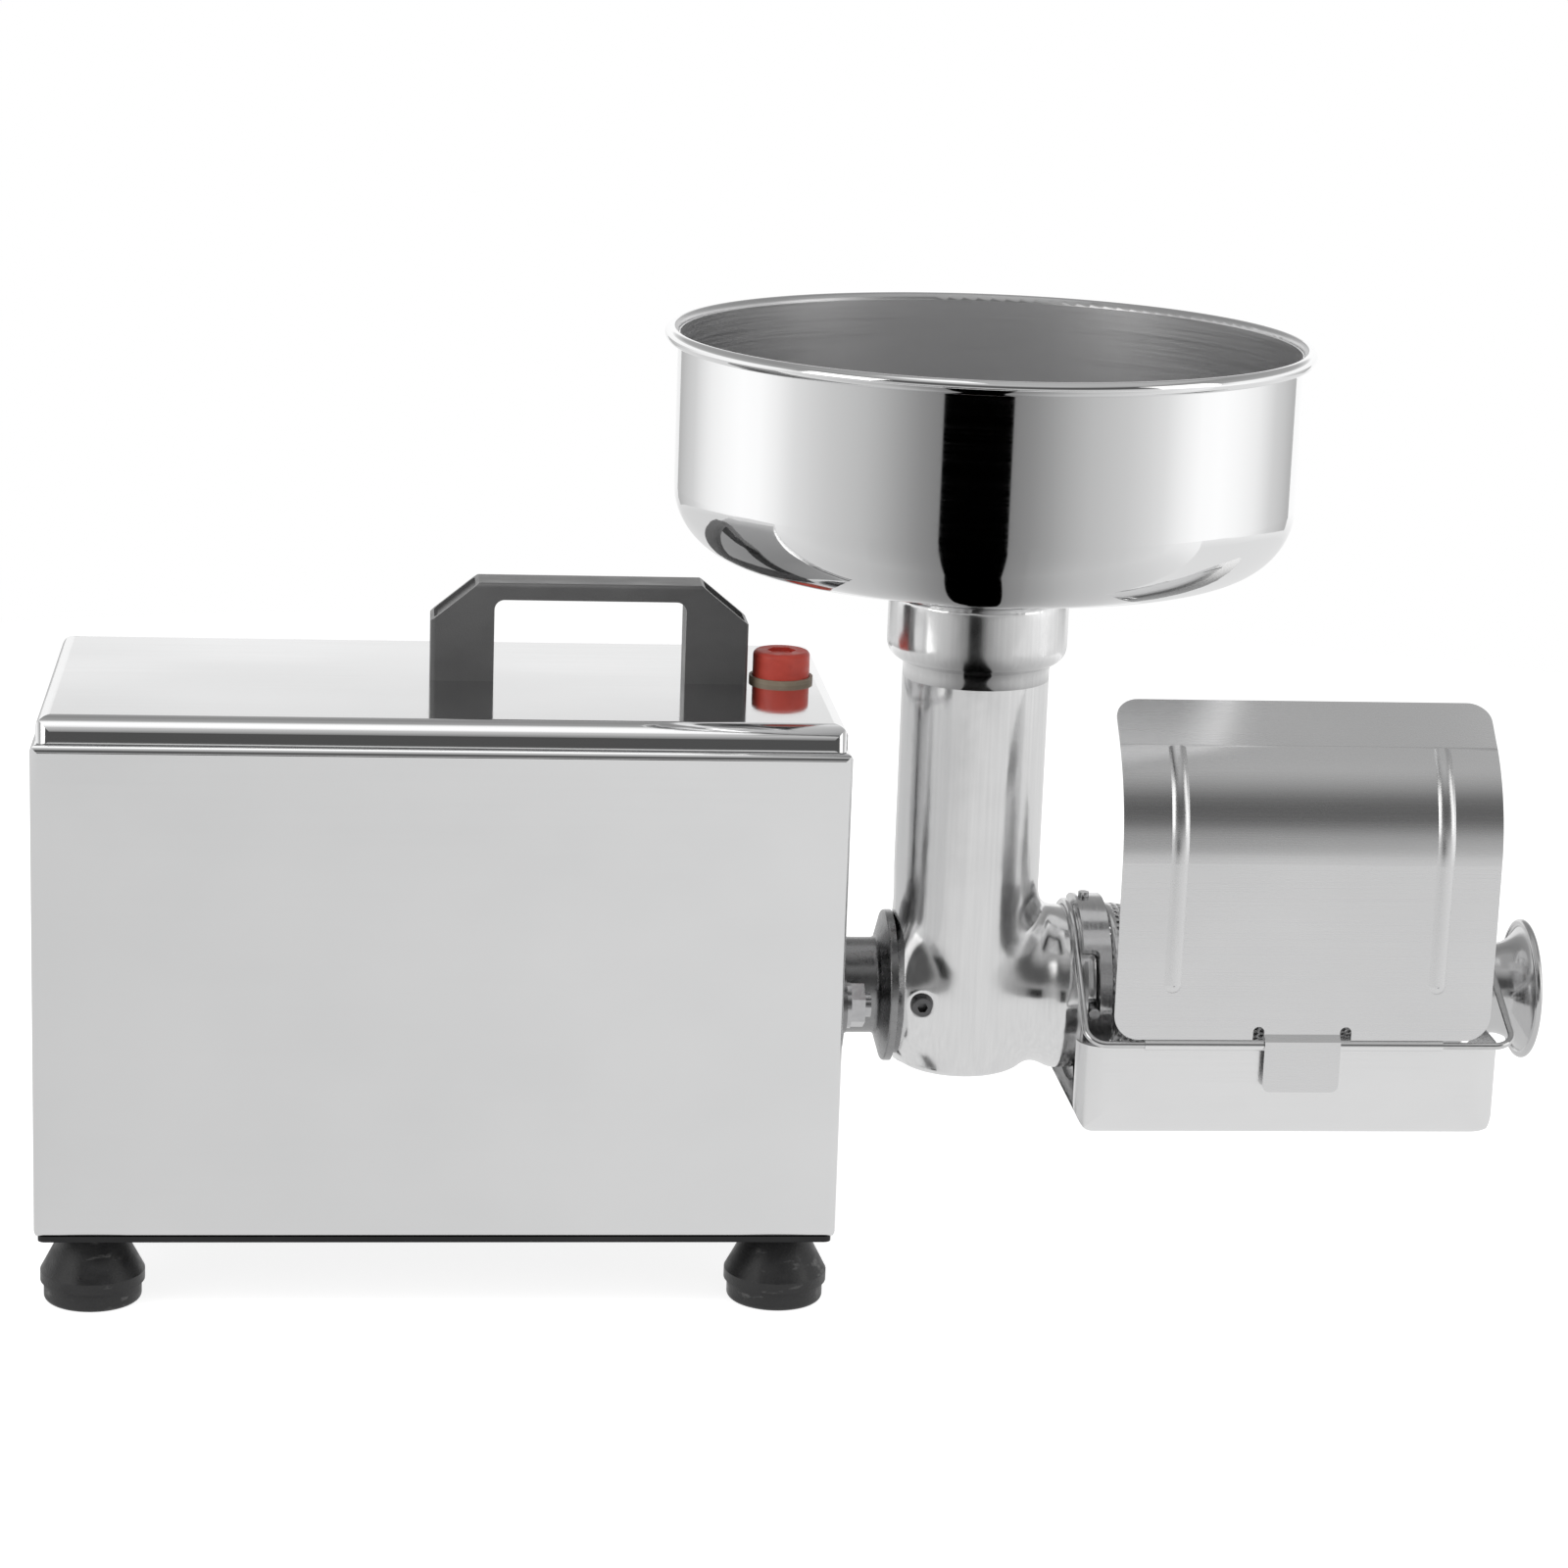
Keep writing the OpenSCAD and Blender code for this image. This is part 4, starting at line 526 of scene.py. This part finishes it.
cast_aluminium = cast_metal("cast_aluminium", dark=(0.48, 0.48, 0.49), light=(0.62, 0.62, 0.62),
    rough=(0.38, 0.6), pit=1.3 * mm, pit_height=0.14 * mm)
dress(cast_aluminium, "motor_front_bell", "motor_rear_bell", "gearbox_case", "gearbox_cover")
bearing_steel = turned_steel("bearing_steel", dark=(0.52, 0.52, 0.53), light=(0.68, 0.68, 0.68),
    rough=(0.08, 0.2), ring_length=1.0 * mm, ring_height=0.02 * mm)
dress(bearing_steel, "motor_bearings", "layshaft_bearings", "output_bearings")
shaft_steel = turned_steel("shaft_steel", dark=(0.48, 0.48, 0.49), light=(0.64, 0.64, 0.64),
    rough=(0.16, 0.3), ring_length=0.4 * mm, ring_height=0.03 * mm)
dress(shaft_steel, "motor_shaft", "layshaft", "output_shaft")
fan_plastic = moulded("fan_plastic", dark=(0.05, 0.05, 0.052), light=(0.08, 0.08, 0.082),
    rough=(0.5, 0.5), marks=(8 * mm, 8 * mm, 8 * mm), detail=2.0,
    skin=0.6 * mm, skin_height=0.05 * mm)
dress(fan_plastic, "cooling_fan")
dress(motor_paint, "fan_cover")
capacitor_can = turned_steel("capacitor_can", dark=(0.7, 0.7, 0.71), light=(0.82, 0.82, 0.82),
    rough=(0.2, 0.32), ring_length=2.0 * mm, ring_height=0.02 * mm)
dress(capacitor_can, "capacitor")
dress(zinc, "capacitor_clip")

# Gearbox
# Two stages of spur gears in a cast case: the rotor's pinion drives the stage gear, and the
# layshaft's pinion drives the output gear, whose hollow shaft takes the auger's square tang.
gear_bronze = turned_steel("gear_bronze", dark=(0.5, 0.34, 0.15), light=(0.66, 0.47, 0.23),
    rough=(0.2, 0.36), ring_length=1.2 * mm, ring_height=0.04 * mm)
dress(gear_bronze, "stage_gear", "output_gear")
dress(zinc, "gearbox_bolts")

# Drive neck
# A cast neck with two ears, flared to meet the head's rear flange, turned smooth and left duller
# than the head. Its dark grey is painted shade, for the shade it lies in under the head. Two studs
# with plated washers and nuts hold it and the gearbox to the end wall.
neck_painted_shade = turned_steel("neck_painted_shade", dark=(0.25, 0.25, 0.256), light=(0.37, 0.37, 0.37),
    rough=(0.22, 0.34), ring_length=0.8 * mm, ring_height=0.02 * mm)
dress(neck_painted_shade, "drive_neck")
plated_steel = turned_steel("plated_steel", dark=(0.44, 0.44, 0.45), light=(0.6, 0.6, 0.605),
    rough=(0.14, 0.24), ring_length=1.0 * mm, ring_height=0.01 * mm)
dress(plated_steel, "mounting_studs", "mounting_washers", "mounting_nuts", "bayonet_pins")
# The lock screw's dark grey is painted shade, so that it reads as a shadowed recess in the boss.
screw_painted_shade = turned_steel("screw_painted_shade", dark=(0.1, 0.1, 0.103), light=(0.18, 0.18, 0.182),
    rough=(0.28, 0.42), ring_length=0.6 * mm, ring_height=0.02 * mm)
dress(screw_painted_shade, "lock_screw")

# Press head
# One aluminium casting, ground and buffed by hand to a soft shine: the screw barrel, the feed
# tube with its collar, the boss for the lock screw and the mouth with its flange. Here it gets the
# wide fillets and the soft edges that casting and buffing leave.


def buffed_casting(name, dark, light, rough, lay):
    """Hand-buffed casting: soft streaks along the buffing and small dents left in the metal"""
    material = new_finish(name, metallic=1.0, roughness=rough[0])
    streaks = grain(material, lay, detail=3.0)
    dents = grain(material, (16 * mm, 16 * mm, 22 * mm), detail=2.0)
    vary_colour(material, streaks, dark, light)
    vary_roughness(material, dents, *rough)
    raise_relief(material, dents, height=0.22 * mm)
    raise_relief(material, streaks, height=0.012 * mm)
    return material


head_aluminium = buffed_casting("head_aluminium", dark=(0.74, 0.74, 0.744),
    light=(0.86, 0.86, 0.86), rough=(0.13, 0.22), lay=(1.6 * mm, 1.6 * mm, 60 * mm))

axis_height = 122 * mm
housing_face = 10.6 * mm
tube_place = housing_face + 61.5 * mm
tube_radius, barrel_radius = 31.8 * mm, 31.5 * mm
tube_foot_straight = 25 * mm
barrel_behind_tube = 32 * mm
fillet_radius, least_fillet = 14 * mm, 0.4 * mm
# A fillet's inner edge lies in the metal, at this share of the crossing's own place
CREASE_SHARE = 0.97
FILLET_STEPS = 48
FILLET_ARC = 8
FILLET_MERGE, HEAD_MERGE = 0.002 * mm, 0.001 * mm
CASTING_GRAIN = 1.15 * mm
# Passes of buffing and how far each moves a corner: first the whole skin, then the crossing
SKIN_PASSES, SKIN_SHARE = 6, 0.5
CROSSING_PASSES, CROSSING_SHARE = 110, 0.9
OUTSIDE_REACH = 29 * mm
CROSSING_REACH = 62 * mm
CROSSING_FADE = 22 * mm


def shade(mesh, degrees):
    """Smooth shading that keeps edges sharper than this angle crisp"""
    for face in mesh.polygons:
        face.use_smooth = True
    mesh.set_sharp_from_angle(angle=math.radians(degrees))


def add_piece(name, mesh, material, body):
    """A new piece of the press that moves with a body"""
    piece = bpy.data.objects.new(name, mesh)
    bpy.context.scene.collection.objects.link(piece)
    mesh.materials.clear()
    mesh.materials.append(material)
    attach(piece, body)
    return piece


def fillet_rings(side, up):
    """Rings of a ball fillet in one quarter of the crossing; it thins out where room ends. Room
    is the cosine of the turn to the side, kept above 0 because it divides."""
    rings = []
    for step in range(-FILLET_STEPS, FILLET_STEPS + 1):
        turn = math.pi / 2 * step / FILLET_STEPS
        room = max(math.cos(turn), 1e-6)
        ball = fillet_radius
        if side < 0:
            ball = min(ball, barrel_behind_tube / room - tube_radius)
        if up < 0:
            ball = min(ball, tube_foot_straight / room - barrel_radius)
        if ball < least_fillet:
            continue
        reach = Vector((side * (tube_radius + ball) * room,
            (barrel_radius + ball) * math.sin(turn), up * (barrel_radius + ball) * room))
        to_tube = Vector((-reach.x, -reach.y, 0)).normalized()
        to_barrel = Vector((0, -reach.y, -reach.z)).normalized()
        crease = CREASE_SHARE * Vector((side * tube_radius * room,
            barrel_radius * math.sin(turn), up * barrel_radius * room))
        ring = [reach + ball * to_tube.slerp(to_barrel, i / FILLET_ARC)
            for i in range(FILLET_ARC + 1)] + [crease]
        rings.append([p + Vector((tube_place, 0, axis_height)) for p in ring])
    return rings


def add_fillet(fillets, rings):
    """One closed strip; a strip that skips its middle is two, one for each side of the press"""
    corners = [[fillets.verts.new(p) for p in ring] for ring in rings]
    count = len(corners[0])
    for near, far in zip(corners, corners[1:]):
        for i in range(count):
            fillets.faces.new((near[i], near[(i + 1) % count], far[(i + 1) % count], far[i]))
    fillets.faces.new(corners[0])
    fillets.faces.new(corners[-1][::-1])


fillets = bmesh.new()
for side in (-1, 1):
    for up in (-1, 1):
        rings = fillet_rings(side, up)
        if side > 0 and up > 0:
            add_fillet(fillets, rings)
        else:
            add_fillet(fillets, rings[:len(rings) // 2])
            add_fillet(fillets, rings[len(rings) // 2:])
bmesh.ops.remove_doubles(fillets, verts=fillets.verts, dist=FILLET_MERGE)
bmesh.ops.recalc_face_normals(fillets, faces=fillets.faces)
fillets.from_mesh(nodes_of_press["head_body"].data)
bmesh.ops.remove_doubles(fillets, verts=fillets.verts, dist=HEAD_MERGE)
casting = bpy.data.meshes.new("casting")
fillets.to_mesh(casting)
fillets.free()
caster = bpy.data.objects.new("caster", casting)
bpy.context.scene.collection.objects.link(caster)
one_skin = caster.modifiers.new("one_skin", "REMESH")
one_skin.mode = "VOXEL"
one_skin.voxel_size = CASTING_GRAIN
depsgraph = bpy.context.evaluated_depsgraph_get()
head_mesh = bpy.data.meshes.new_from_object(caster.evaluated_get(depsgraph), depsgraph=depsgraph)
bpy.data.objects.remove(caster)


def buff(mesh, passes, share):
    """Moves each corner towards the middle of its neighbours, by its own share, pass by pass"""
    corners = np.empty(3 * len(mesh.vertices))
    mesh.vertices.foreach_get("co", corners)
    corners = corners.reshape(-1, 3)
    ends = np.empty(2 * len(mesh.edges), dtype=int)
    mesh.edges.foreach_get("vertices", ends)
    near, far = ends.reshape(-1, 2).T
    count = np.bincount(ends, minlength=len(corners))
    for _ in range(passes):
        for axis in range(3):
            values = corners[:, axis]
            total = (np.bincount(near, values[far], len(corners))
                + np.bincount(far, values[near], len(corners)))
            values += share(corners) * (total / count - values)
    mesh.vertices.foreach_set("co", corners.ravel())


def at_crossing(corners):
    """The share for each corner: full on the outside of the crossing of tube and barrel, and
    falling to 0 away from it"""
    x, y, z = corners[:, 0] - tube_place, corners[:, 1], corners[:, 2] - axis_height
    outside = np.minimum(np.hypot(x, y), np.hypot(y, z)) > OUTSIDE_REACH
    distance = np.sqrt(x ** 2 + y ** 2 + z ** 2)
    fade = np.clip((CROSSING_REACH - distance) / CROSSING_FADE, 0, 1)
    return CROSSING_SHARE * outside * fade


buff(head_mesh, SKIN_PASSES, lambda corners: SKIN_SHARE)
buff(head_mesh, CROSSING_PASSES, at_crossing)
shade(head_mesh, degrees=180)
casting_head = add_piece("casting_head", head_mesh, head_aluminium, "housing")
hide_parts("head_body")

# Hopper
# A spun pan with a rolled bead, mirror bright outside and satin inside, seamed to a turned spigot
# that drops into the head's collar.


def mirror_outside(name, bright, satin, rough_outside, rough_inside, middle):
    """Spun steel that is bright where its faces point away from the middle, and satin inside"""
    material = new_finish(name, metallic=1.0, roughness=rough_outside[0])
    tree = material.node_tree
    place = tree.nodes.new("ShaderNodeTexCoord")
    from_middle = tree.nodes.new("ShaderNodeVectorMath")
    from_middle.operation = "SUBTRACT"
    from_middle.inputs[1].default_value = middle
    facing = tree.nodes.new("ShaderNodeVectorMath")
    facing.operation = "DOT_PRODUCT"
    tree.links.new(place.outputs["Object"], from_middle.inputs[0])
    tree.links.new(from_middle.outputs["Vector"], facing.inputs[0])
    tree.links.new(place.outputs["Normal"], facing.inputs[1])
    inside = calculate(tree, "LESS_THAN", facing.outputs["Value"], 0.0)
    rings = grain(material, (60 * mm, 60 * mm, 1.0 * mm), detail=3.0)
    vary_colour(material, inside, bright, satin)
    roughness = tree.nodes.new("ShaderNodeMix")
    tree.links.new(inside, roughness.inputs["Factor"])
    tree.links.new(spread(material, rings, *rough_outside), roughness.inputs["A"])
    tree.links.new(spread(material, rings, *rough_inside), roughness.inputs["B"])
    tree.links.new(roughness.outputs["Result"],
        tree.nodes["Principled BSDF"].inputs["Roughness"])
    waves = grain(material, (120 * mm, 120 * mm, 90 * mm), detail=1.0)
    raise_relief(material, waves, height=0.12 * mm)
    raise_relief(material, rings, height=0.004 * mm)
    return material


pan_low, pan_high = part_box("hopper_pan")
pan_steel = mirror_outside("pan_steel", bright=(0.88, 0.882, 0.885), satin=(0.68, 0.68, 0.684),
    rough_outside=(0.03, 0.07), rough_inside=(0.28, 0.42), middle=(pan_low + pan_high) / 2)
dress(pan_steel, "hopper_pan", "hopper_spigot")

# Auger
# The feed screw: a turned stainless core with a flight welded round it, whose edge follows first
# the barrel and then the cone of the screen. It turns with the gearbox's output shaft.
auger_steel = turned_steel("auger_steel", dark=(0.5, 0.5, 0.505), light=(0.66, 0.66, 0.66),
    rough=(0.14, 0.28), ring_length=0.8 * mm, ring_height=0.03 * mm)
dress(auger_steel, "auger")

flight_pitch = 36 * mm
flight_turn_steps = 72
flight_root_width, flight_tip_width = 6 * mm, 2.6 * mm
core_radius, root_sunk = 12 * mm, 0.2 * mm
barrel_bore_radius = 27.5 * mm
screen_start, screen_length = housing_face + 122 * mm, 166 * mm
screen_large_radius, screen_small_radius = 37.5 * mm, 20 * mm
screen_sheet = 0.8 * mm
flight_clearance = 1.5 * mm


def screen_radius(x):
    """The cone's outer radius at a place along the press"""
    return screen_large_radius + (screen_small_radius - screen_large_radius) * (
        x - screen_start) / screen_length


flight_low, flight_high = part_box("auger_flight")
flight_start = flight_low.x + flight_root_width / 2
flight_sections = int((flight_high.x - flight_low.x - flight_root_width) / flight_pitch
    * flight_turn_steps)
flight = bmesh.new()
rings = []
for step in range(flight_sections + 1):
    along = flight_start + step * flight_pitch / flight_turn_steps
    turn = 2 * math.pi * step / flight_turn_steps
    tip = min(barrel_bore_radius, screen_radius(along) - screen_sheet) - flight_clearance
    root = core_radius - root_sunk
    corners = ((root, -flight_root_width / 2), (tip, -flight_tip_width / 2),
        (tip, flight_tip_width / 2), (root, flight_root_width / 2))
    rings.append([flight.verts.new((along + shift, radius * math.sin(turn),
        axis_height - radius * math.cos(turn))) for radius, shift in corners])
for near, far in zip(rings, rings[1:]):
    for i in range(4):
        flight.faces.new((near[i], near[(i + 1) % 4], far[(i + 1) % 4], far[i]))
flight.faces.new(rings[0])
flight.faces.new(rings[-1][::-1])
bmesh.ops.recalc_face_normals(flight, faces=flight.faces)
flight_mesh = bpy.data.meshes.new("auger_blade")
flight.to_mesh(flight_mesh)
flight.free()
shade(flight_mesh, degrees=40)
auger_blade = add_piece("auger_blade", flight_mesh, auger_steel, "auger")
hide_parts("auger_flight")

# Strainer
# A bayonet collar, a cone of perforated sheet and a flared spout, welded end to end. The screen is
# made here with its full number of holes, in place of the coarser one of the CAD model.
strainer_steel = rolled_steel("strainer_steel", dark=(0.56, 0.56, 0.565), light=(0.7, 0.7, 0.7),
    rough=(0.12, 0.24), lines=(1.2 * mm, 14 * mm, 14 * mm), scratch=0.02 * mm,
    waves=(60 * mm, 60 * mm, 60 * mm), wave_height=0.1 * mm)
dress(strainer_steel, "strainer_collar", "discharge_spout")

HOLES_ROUND, HOLE_ROWS = 60, 62
HOLE_SHARE = 0.56
PLAIN_END = 4 * mm
SEAM_MERGE = 0.01 * mm


def new_tree(name, sizes):
    """A Geometry Nodes tree with geometry in and out, a material and one input for each size"""
    tree = bpy.data.node_groups.new(name, "GeometryNodeTree")
    tree.interface.new_socket("Geometry", in_out="INPUT", socket_type="NodeSocketGeometry")
    tree.interface.new_socket("Geometry", in_out="OUTPUT", socket_type="NodeSocketGeometry")
    for label, value in sizes.items():
        kind = "NodeSocketInt" if isinstance(value, int) else "NodeSocketFloat"
        if isinstance(value, bpy.types.Material):
            kind = "NodeSocketMaterial"
        tree.interface.new_socket(label, in_out="INPUT", socket_type=kind)
    return tree, tree.nodes.new("NodeGroupInput"), tree.nodes.new("NodeGroupOutput")


def finish_tree(tree, geometry, sizes, output):
    """Ends a tree in real geometry with its material"""
    real = tree.nodes.new("GeometryNodeRealizeInstances")
    coat = tree.nodes.new("GeometryNodeSetMaterial")
    tree.links.new(geometry, real.inputs[0])
    tree.links.new(real.outputs[0], coat.inputs["Geometry"])
    tree.links.new(sizes.outputs["Finish"], coat.inputs["Material"])
    tree.links.new(coat.outputs[0], output.inputs["Geometry"])


def grow(name, tree, sizes, start):
    """Runs a tree on a mesh and returns the plain mesh that it makes"""
    grower = bpy.data.objects.new(name, start)
    bpy.context.scene.collection.objects.link(grower)
    modifier = grower.modifiers.new("shape", "NODES")
    modifier.node_group = tree
    for item in tree.interface.items_tree:
        if item.in_out == "INPUT" and item.name in sizes:
            modifier[item.identifier] = sizes[item.name]
    depsgraph = bpy.context.evaluated_depsgraph_get()
    made = bpy.data.meshes.new_from_object(grower.evaluated_get(depsgraph),
        depsgraph=depsgraph)
    bpy.data.objects.remove(grower)
    return made


screen_sizes = {"Holes round": HOLES_ROUND, "Rows": HOLE_ROWS, "Hole share": HOLE_SHARE,
    "Start": screen_start, "Length": screen_length, "Large radius": screen_large_radius,
    "Small radius": screen_small_radius, "Axis height": axis_height, "Plain end": PLAIN_END,
    "Finish": strainer_steel}
tree, sizes, output = new_tree("perforated_cone", screen_sizes)
# A flat grid of 1 by 1 with a cell for each hole
grid = tree.nodes.new("GeometryNodeMeshGrid")
grid.inputs["Size X"].default_value = grid.inputs["Size Y"].default_value = 1.0
tree.links.new(calculate(tree, "ADD", sizes.outputs["Holes round"], 1.0),
    grid.inputs["Vertices X"])
tree.links.new(calculate(tree, "ADD", sizes.outputs["Rows"], 1.0), grid.inputs["Vertices Y"])
# The grid is rolled round the press's axis into the cone. Each row starts half a hole further
# round than the last.
corner = split(tree, tree.nodes.new("GeometryNodeInputPosition").outputs[0])
around = calculate(tree, "ADD", corner["X"], 0.5)
along = calculate(tree, "ADD", corner["Y"], 0.5)
rows_round = calculate(tree, "DIVIDE", sizes.outputs["Rows"], sizes.outputs["Holes round"])
stagger = calculate(tree, "MULTIPLY", calculate(tree, "MULTIPLY", along, 0.5), rows_round)
angle = calculate(tree, "MULTIPLY", calculate(tree, "ADD", around, stagger), 2 * math.pi)
taper = calculate(tree, "SUBTRACT", sizes.outputs["Small radius"],
    sizes.outputs["Large radius"])
radius = calculate(tree, "ADD", calculate(tree, "MULTIPLY", taper, along),
    sizes.outputs["Large radius"])
wrapped = tree.nodes.new("ShaderNodeCombineXYZ")
tree.links.new(calculate(tree, "ADD", calculate(tree, "MULTIPLY", along,
    sizes.outputs["Length"]), sizes.outputs["Start"]), wrapped.inputs["X"])
tree.links.new(calculate(tree, "MULTIPLY", radius, calculate(tree, "COSINE", angle)),
    wrapped.inputs["Y"])
tree.links.new(calculate(tree, "ADD", calculate(tree, "MULTIPLY", radius,
    calculate(tree, "SINE", angle)), sizes.outputs["Axis height"]), wrapped.inputs["Z"])
wrap = tree.nodes.new("GeometryNodeSetPosition")
tree.links.new(grid.outputs["Mesh"], wrap.inputs["Geometry"])
tree.links.new(wrapped.outputs[0], wrap.inputs["Position"])
# Its seam is closed, and its corners become the middles of hexagons
closed = tree.nodes.new("GeometryNodeMergeByDistance")
closed.inputs["Distance"].default_value = SEAM_MERGE
tree.links.new(wrap.outputs[0], closed.inputs["Geometry"])
triangles = tree.nodes.new("GeometryNodeTriangulate")
tree.links.new(closed.outputs[0], triangles.inputs["Mesh"])
hexagons = tree.nodes.new("GeometryNodeDualMesh")
tree.links.new(triangles.outputs[0], hexagons.inputs["Mesh"])
# Away from the plain ends, a smaller hexagon is punched out of the middle of each
punched = tree.nodes.new("GeometryNodeExtrudeMesh")
punched.mode = "FACES"
punched.inputs["Individual"].default_value = True
punched.inputs["Offset Scale"].default_value = 0.0
middle = split(tree, tree.nodes.new("GeometryNodeInputPosition").outputs[0])
past_start = calculate(tree, "GREATER_THAN", middle["X"],
    calculate(tree, "ADD", sizes.outputs["Start"], sizes.outputs["Plain end"]))
stop = calculate(tree, "SUBTRACT", calculate(tree, "ADD", sizes.outputs["Start"],
    sizes.outputs["Length"]), sizes.outputs["Plain end"])
before_stop = calculate(tree, "LESS_THAN", middle["X"], stop)
tree.links.new(hexagons.outputs[0], punched.inputs["Mesh"])
tree.links.new(calculate(tree, "MULTIPLY", past_start, before_stop),
    punched.inputs["Selection"])
shrunk = tree.nodes.new("GeometryNodeScaleElements")
tree.links.new(punched.outputs["Mesh"], shrunk.inputs["Geometry"])
tree.links.new(punched.outputs["Top"], shrunk.inputs["Selection"])
tree.links.new(sizes.outputs["Hole share"], shrunk.inputs["Scale"])
opened = tree.nodes.new("GeometryNodeDeleteGeometry")
opened.domain = "FACE"
tree.links.new(shrunk.outputs[0], opened.inputs["Geometry"])
tree.links.new(punched.outputs["Top"], opened.inputs["Selection"])
finish_tree(tree, opened.outputs[0], sizes, output)

screen_mesh = grow("screen_source", tree, screen_sizes, bpy.data.meshes.new("screen_blank"))
screen_mesh.name = "perforated_screen"
first = screen_mesh.polygons[0]
outward = first.center - Vector((first.center.x, 0, axis_height))
if first.normal.dot(outward) < 0:
    screen_mesh.flip_normals()
shade(screen_mesh, degrees=30)
perforated_screen = add_piece("perforated_screen", screen_mesh, strainer_steel, "strainer")
wall = perforated_screen.modifiers.new("sheet", "SOLIDIFY")
wall.thickness = screen_sheet
wall.offset = -1.0
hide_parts("strainer_screen")

# Wire frame
# One closed loop of 3 mm spring wire that clips on the head: an arch over the mouth, an arch over
# the spout and the two rails that carry the tray.
wire_steel = turned_steel("wire_steel", dark=(0.58, 0.58, 0.585), light=(0.74, 0.74, 0.74),
    rough=(0.1, 0.2), ring_length=12 * mm, ring_height=0.02 * mm)

wire_radius = 1.5 * mm
rail_side = 67.5 * mm
rail_drop = 6 * mm
rail_bend = 9 * mm
arch_places = (housing_face + 107 * mm, housing_face + 294 * mm)
arch_radii = (37.5 * mm, 21.8 * mm)
ARCH_STEPS, BEND_STEPS, WIRE_SIDES = 24, 10, 20


def half_arch(radius, inward):
    """Points (x, y, z from the axis) of half an arch, from its top to where its rail begins"""
    distance = math.hypot(rail_side, rail_drop)
    touch = math.acos(radius / distance) - math.atan2(rail_drop, rail_side)
    up = Vector((0, -math.sin(touch), math.cos(touch)))
    foot = Vector((0, rail_side, -rail_drop))
    points = []
    for step in range(ARCH_STEPS + 1):
        turn = math.pi / 2 - (math.pi / 2 - touch) * step / ARCH_STEPS
        points.append(Vector((0, radius * math.cos(turn), radius * math.sin(turn))))
    for step in range(BEND_STEPS + 1):
        turn = math.pi / 2 * step / BEND_STEPS
        points.append(foot + rail_bend * ((1 - math.sin(turn)) * up
            + (1 - math.cos(turn)) * Vector((inward, 0, 0))))
    return points


near_arch = [p + Vector((arch_places[0], 0, axis_height)) for p in half_arch(arch_radii[0], 1)]
far_arch = [p + Vector((arch_places[1], 0, axis_height)) for p in half_arch(arch_radii[1], -1)]
one_side = near_arch + far_arch[::-1]
loop = one_side + [Vector((p.x, -p.y, p.z)) for p in one_side[-2:0:-1]]
wire_path = bpy.data.meshes.new("wire_path")
wire_path.from_pydata(loop, [(i, (i + 1) % len(loop)) for i in range(len(loop))], [])
wire_sizes = {"Wire radius": wire_radius, "Sides": WIRE_SIDES, "Finish": wire_steel}
tree, sizes, output = new_tree("drawn_wire", wire_sizes)
follow = tree.nodes.new("GeometryNodeMeshToCurve")
section = tree.nodes.new("GeometryNodeCurvePrimitiveCircle")
sweep = tree.nodes.new("GeometryNodeCurveToMesh")
tree.links.new(sizes.outputs["Geometry"], follow.inputs["Mesh"])
tree.links.new(sizes.outputs["Sides"], section.inputs["Resolution"])
tree.links.new(sizes.outputs["Wire radius"], section.inputs["Radius"])
tree.links.new(follow.outputs[0], sweep.inputs["Curve"])
tree.links.new(section.outputs["Curve"], sweep.inputs["Profile Curve"])
finish_tree(tree, sweep.outputs[0], sizes, output)
wire_mesh = grow("wire_source", tree, wire_sizes, wire_path)
shade(wire_mesh, degrees=60)
bent_wire = add_piece("bent_wire", wire_mesh, wire_steel, "tray_frame")
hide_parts("wire_frame")

# Drip tray
# Pressed from thin sheet with a satin finish; its long walls are rolled round the rails and its
# ends are cut low to clear the head and the spout.
tray_steel = rolled_steel("tray_steel", dark=(0.82, 0.82, 0.824), light=(0.9, 0.9, 0.9),
    rough=(0.18, 0.26), lines=(60 * mm, 0.8 * mm, 0.8 * mm), scratch=0.002 * mm,
    waves=(90 * mm, 80 * mm, 60 * mm), wave_height=0.18 * mm)
dress(tray_steel, "drip_tray")

# Splash guard
# A curved brushed sheet over the screen, stiffened by two pressed ribs, with a clip below that
# hooks over the front rail. The brush lines run along the press.
guard_steel = rolled_steel("guard_steel", dark=(0.73, 0.73, 0.734), light=(0.8, 0.8, 0.802),
    rough=(0.25, 0.28), lines=(110 * mm, 0.4 * mm, 0.4 * mm), scratch=0.0003 * mm,
    waves=(110 * mm, 70 * mm, 70 * mm), wave_height=0.1 * mm)
dress(guard_steel, "splash_guard")
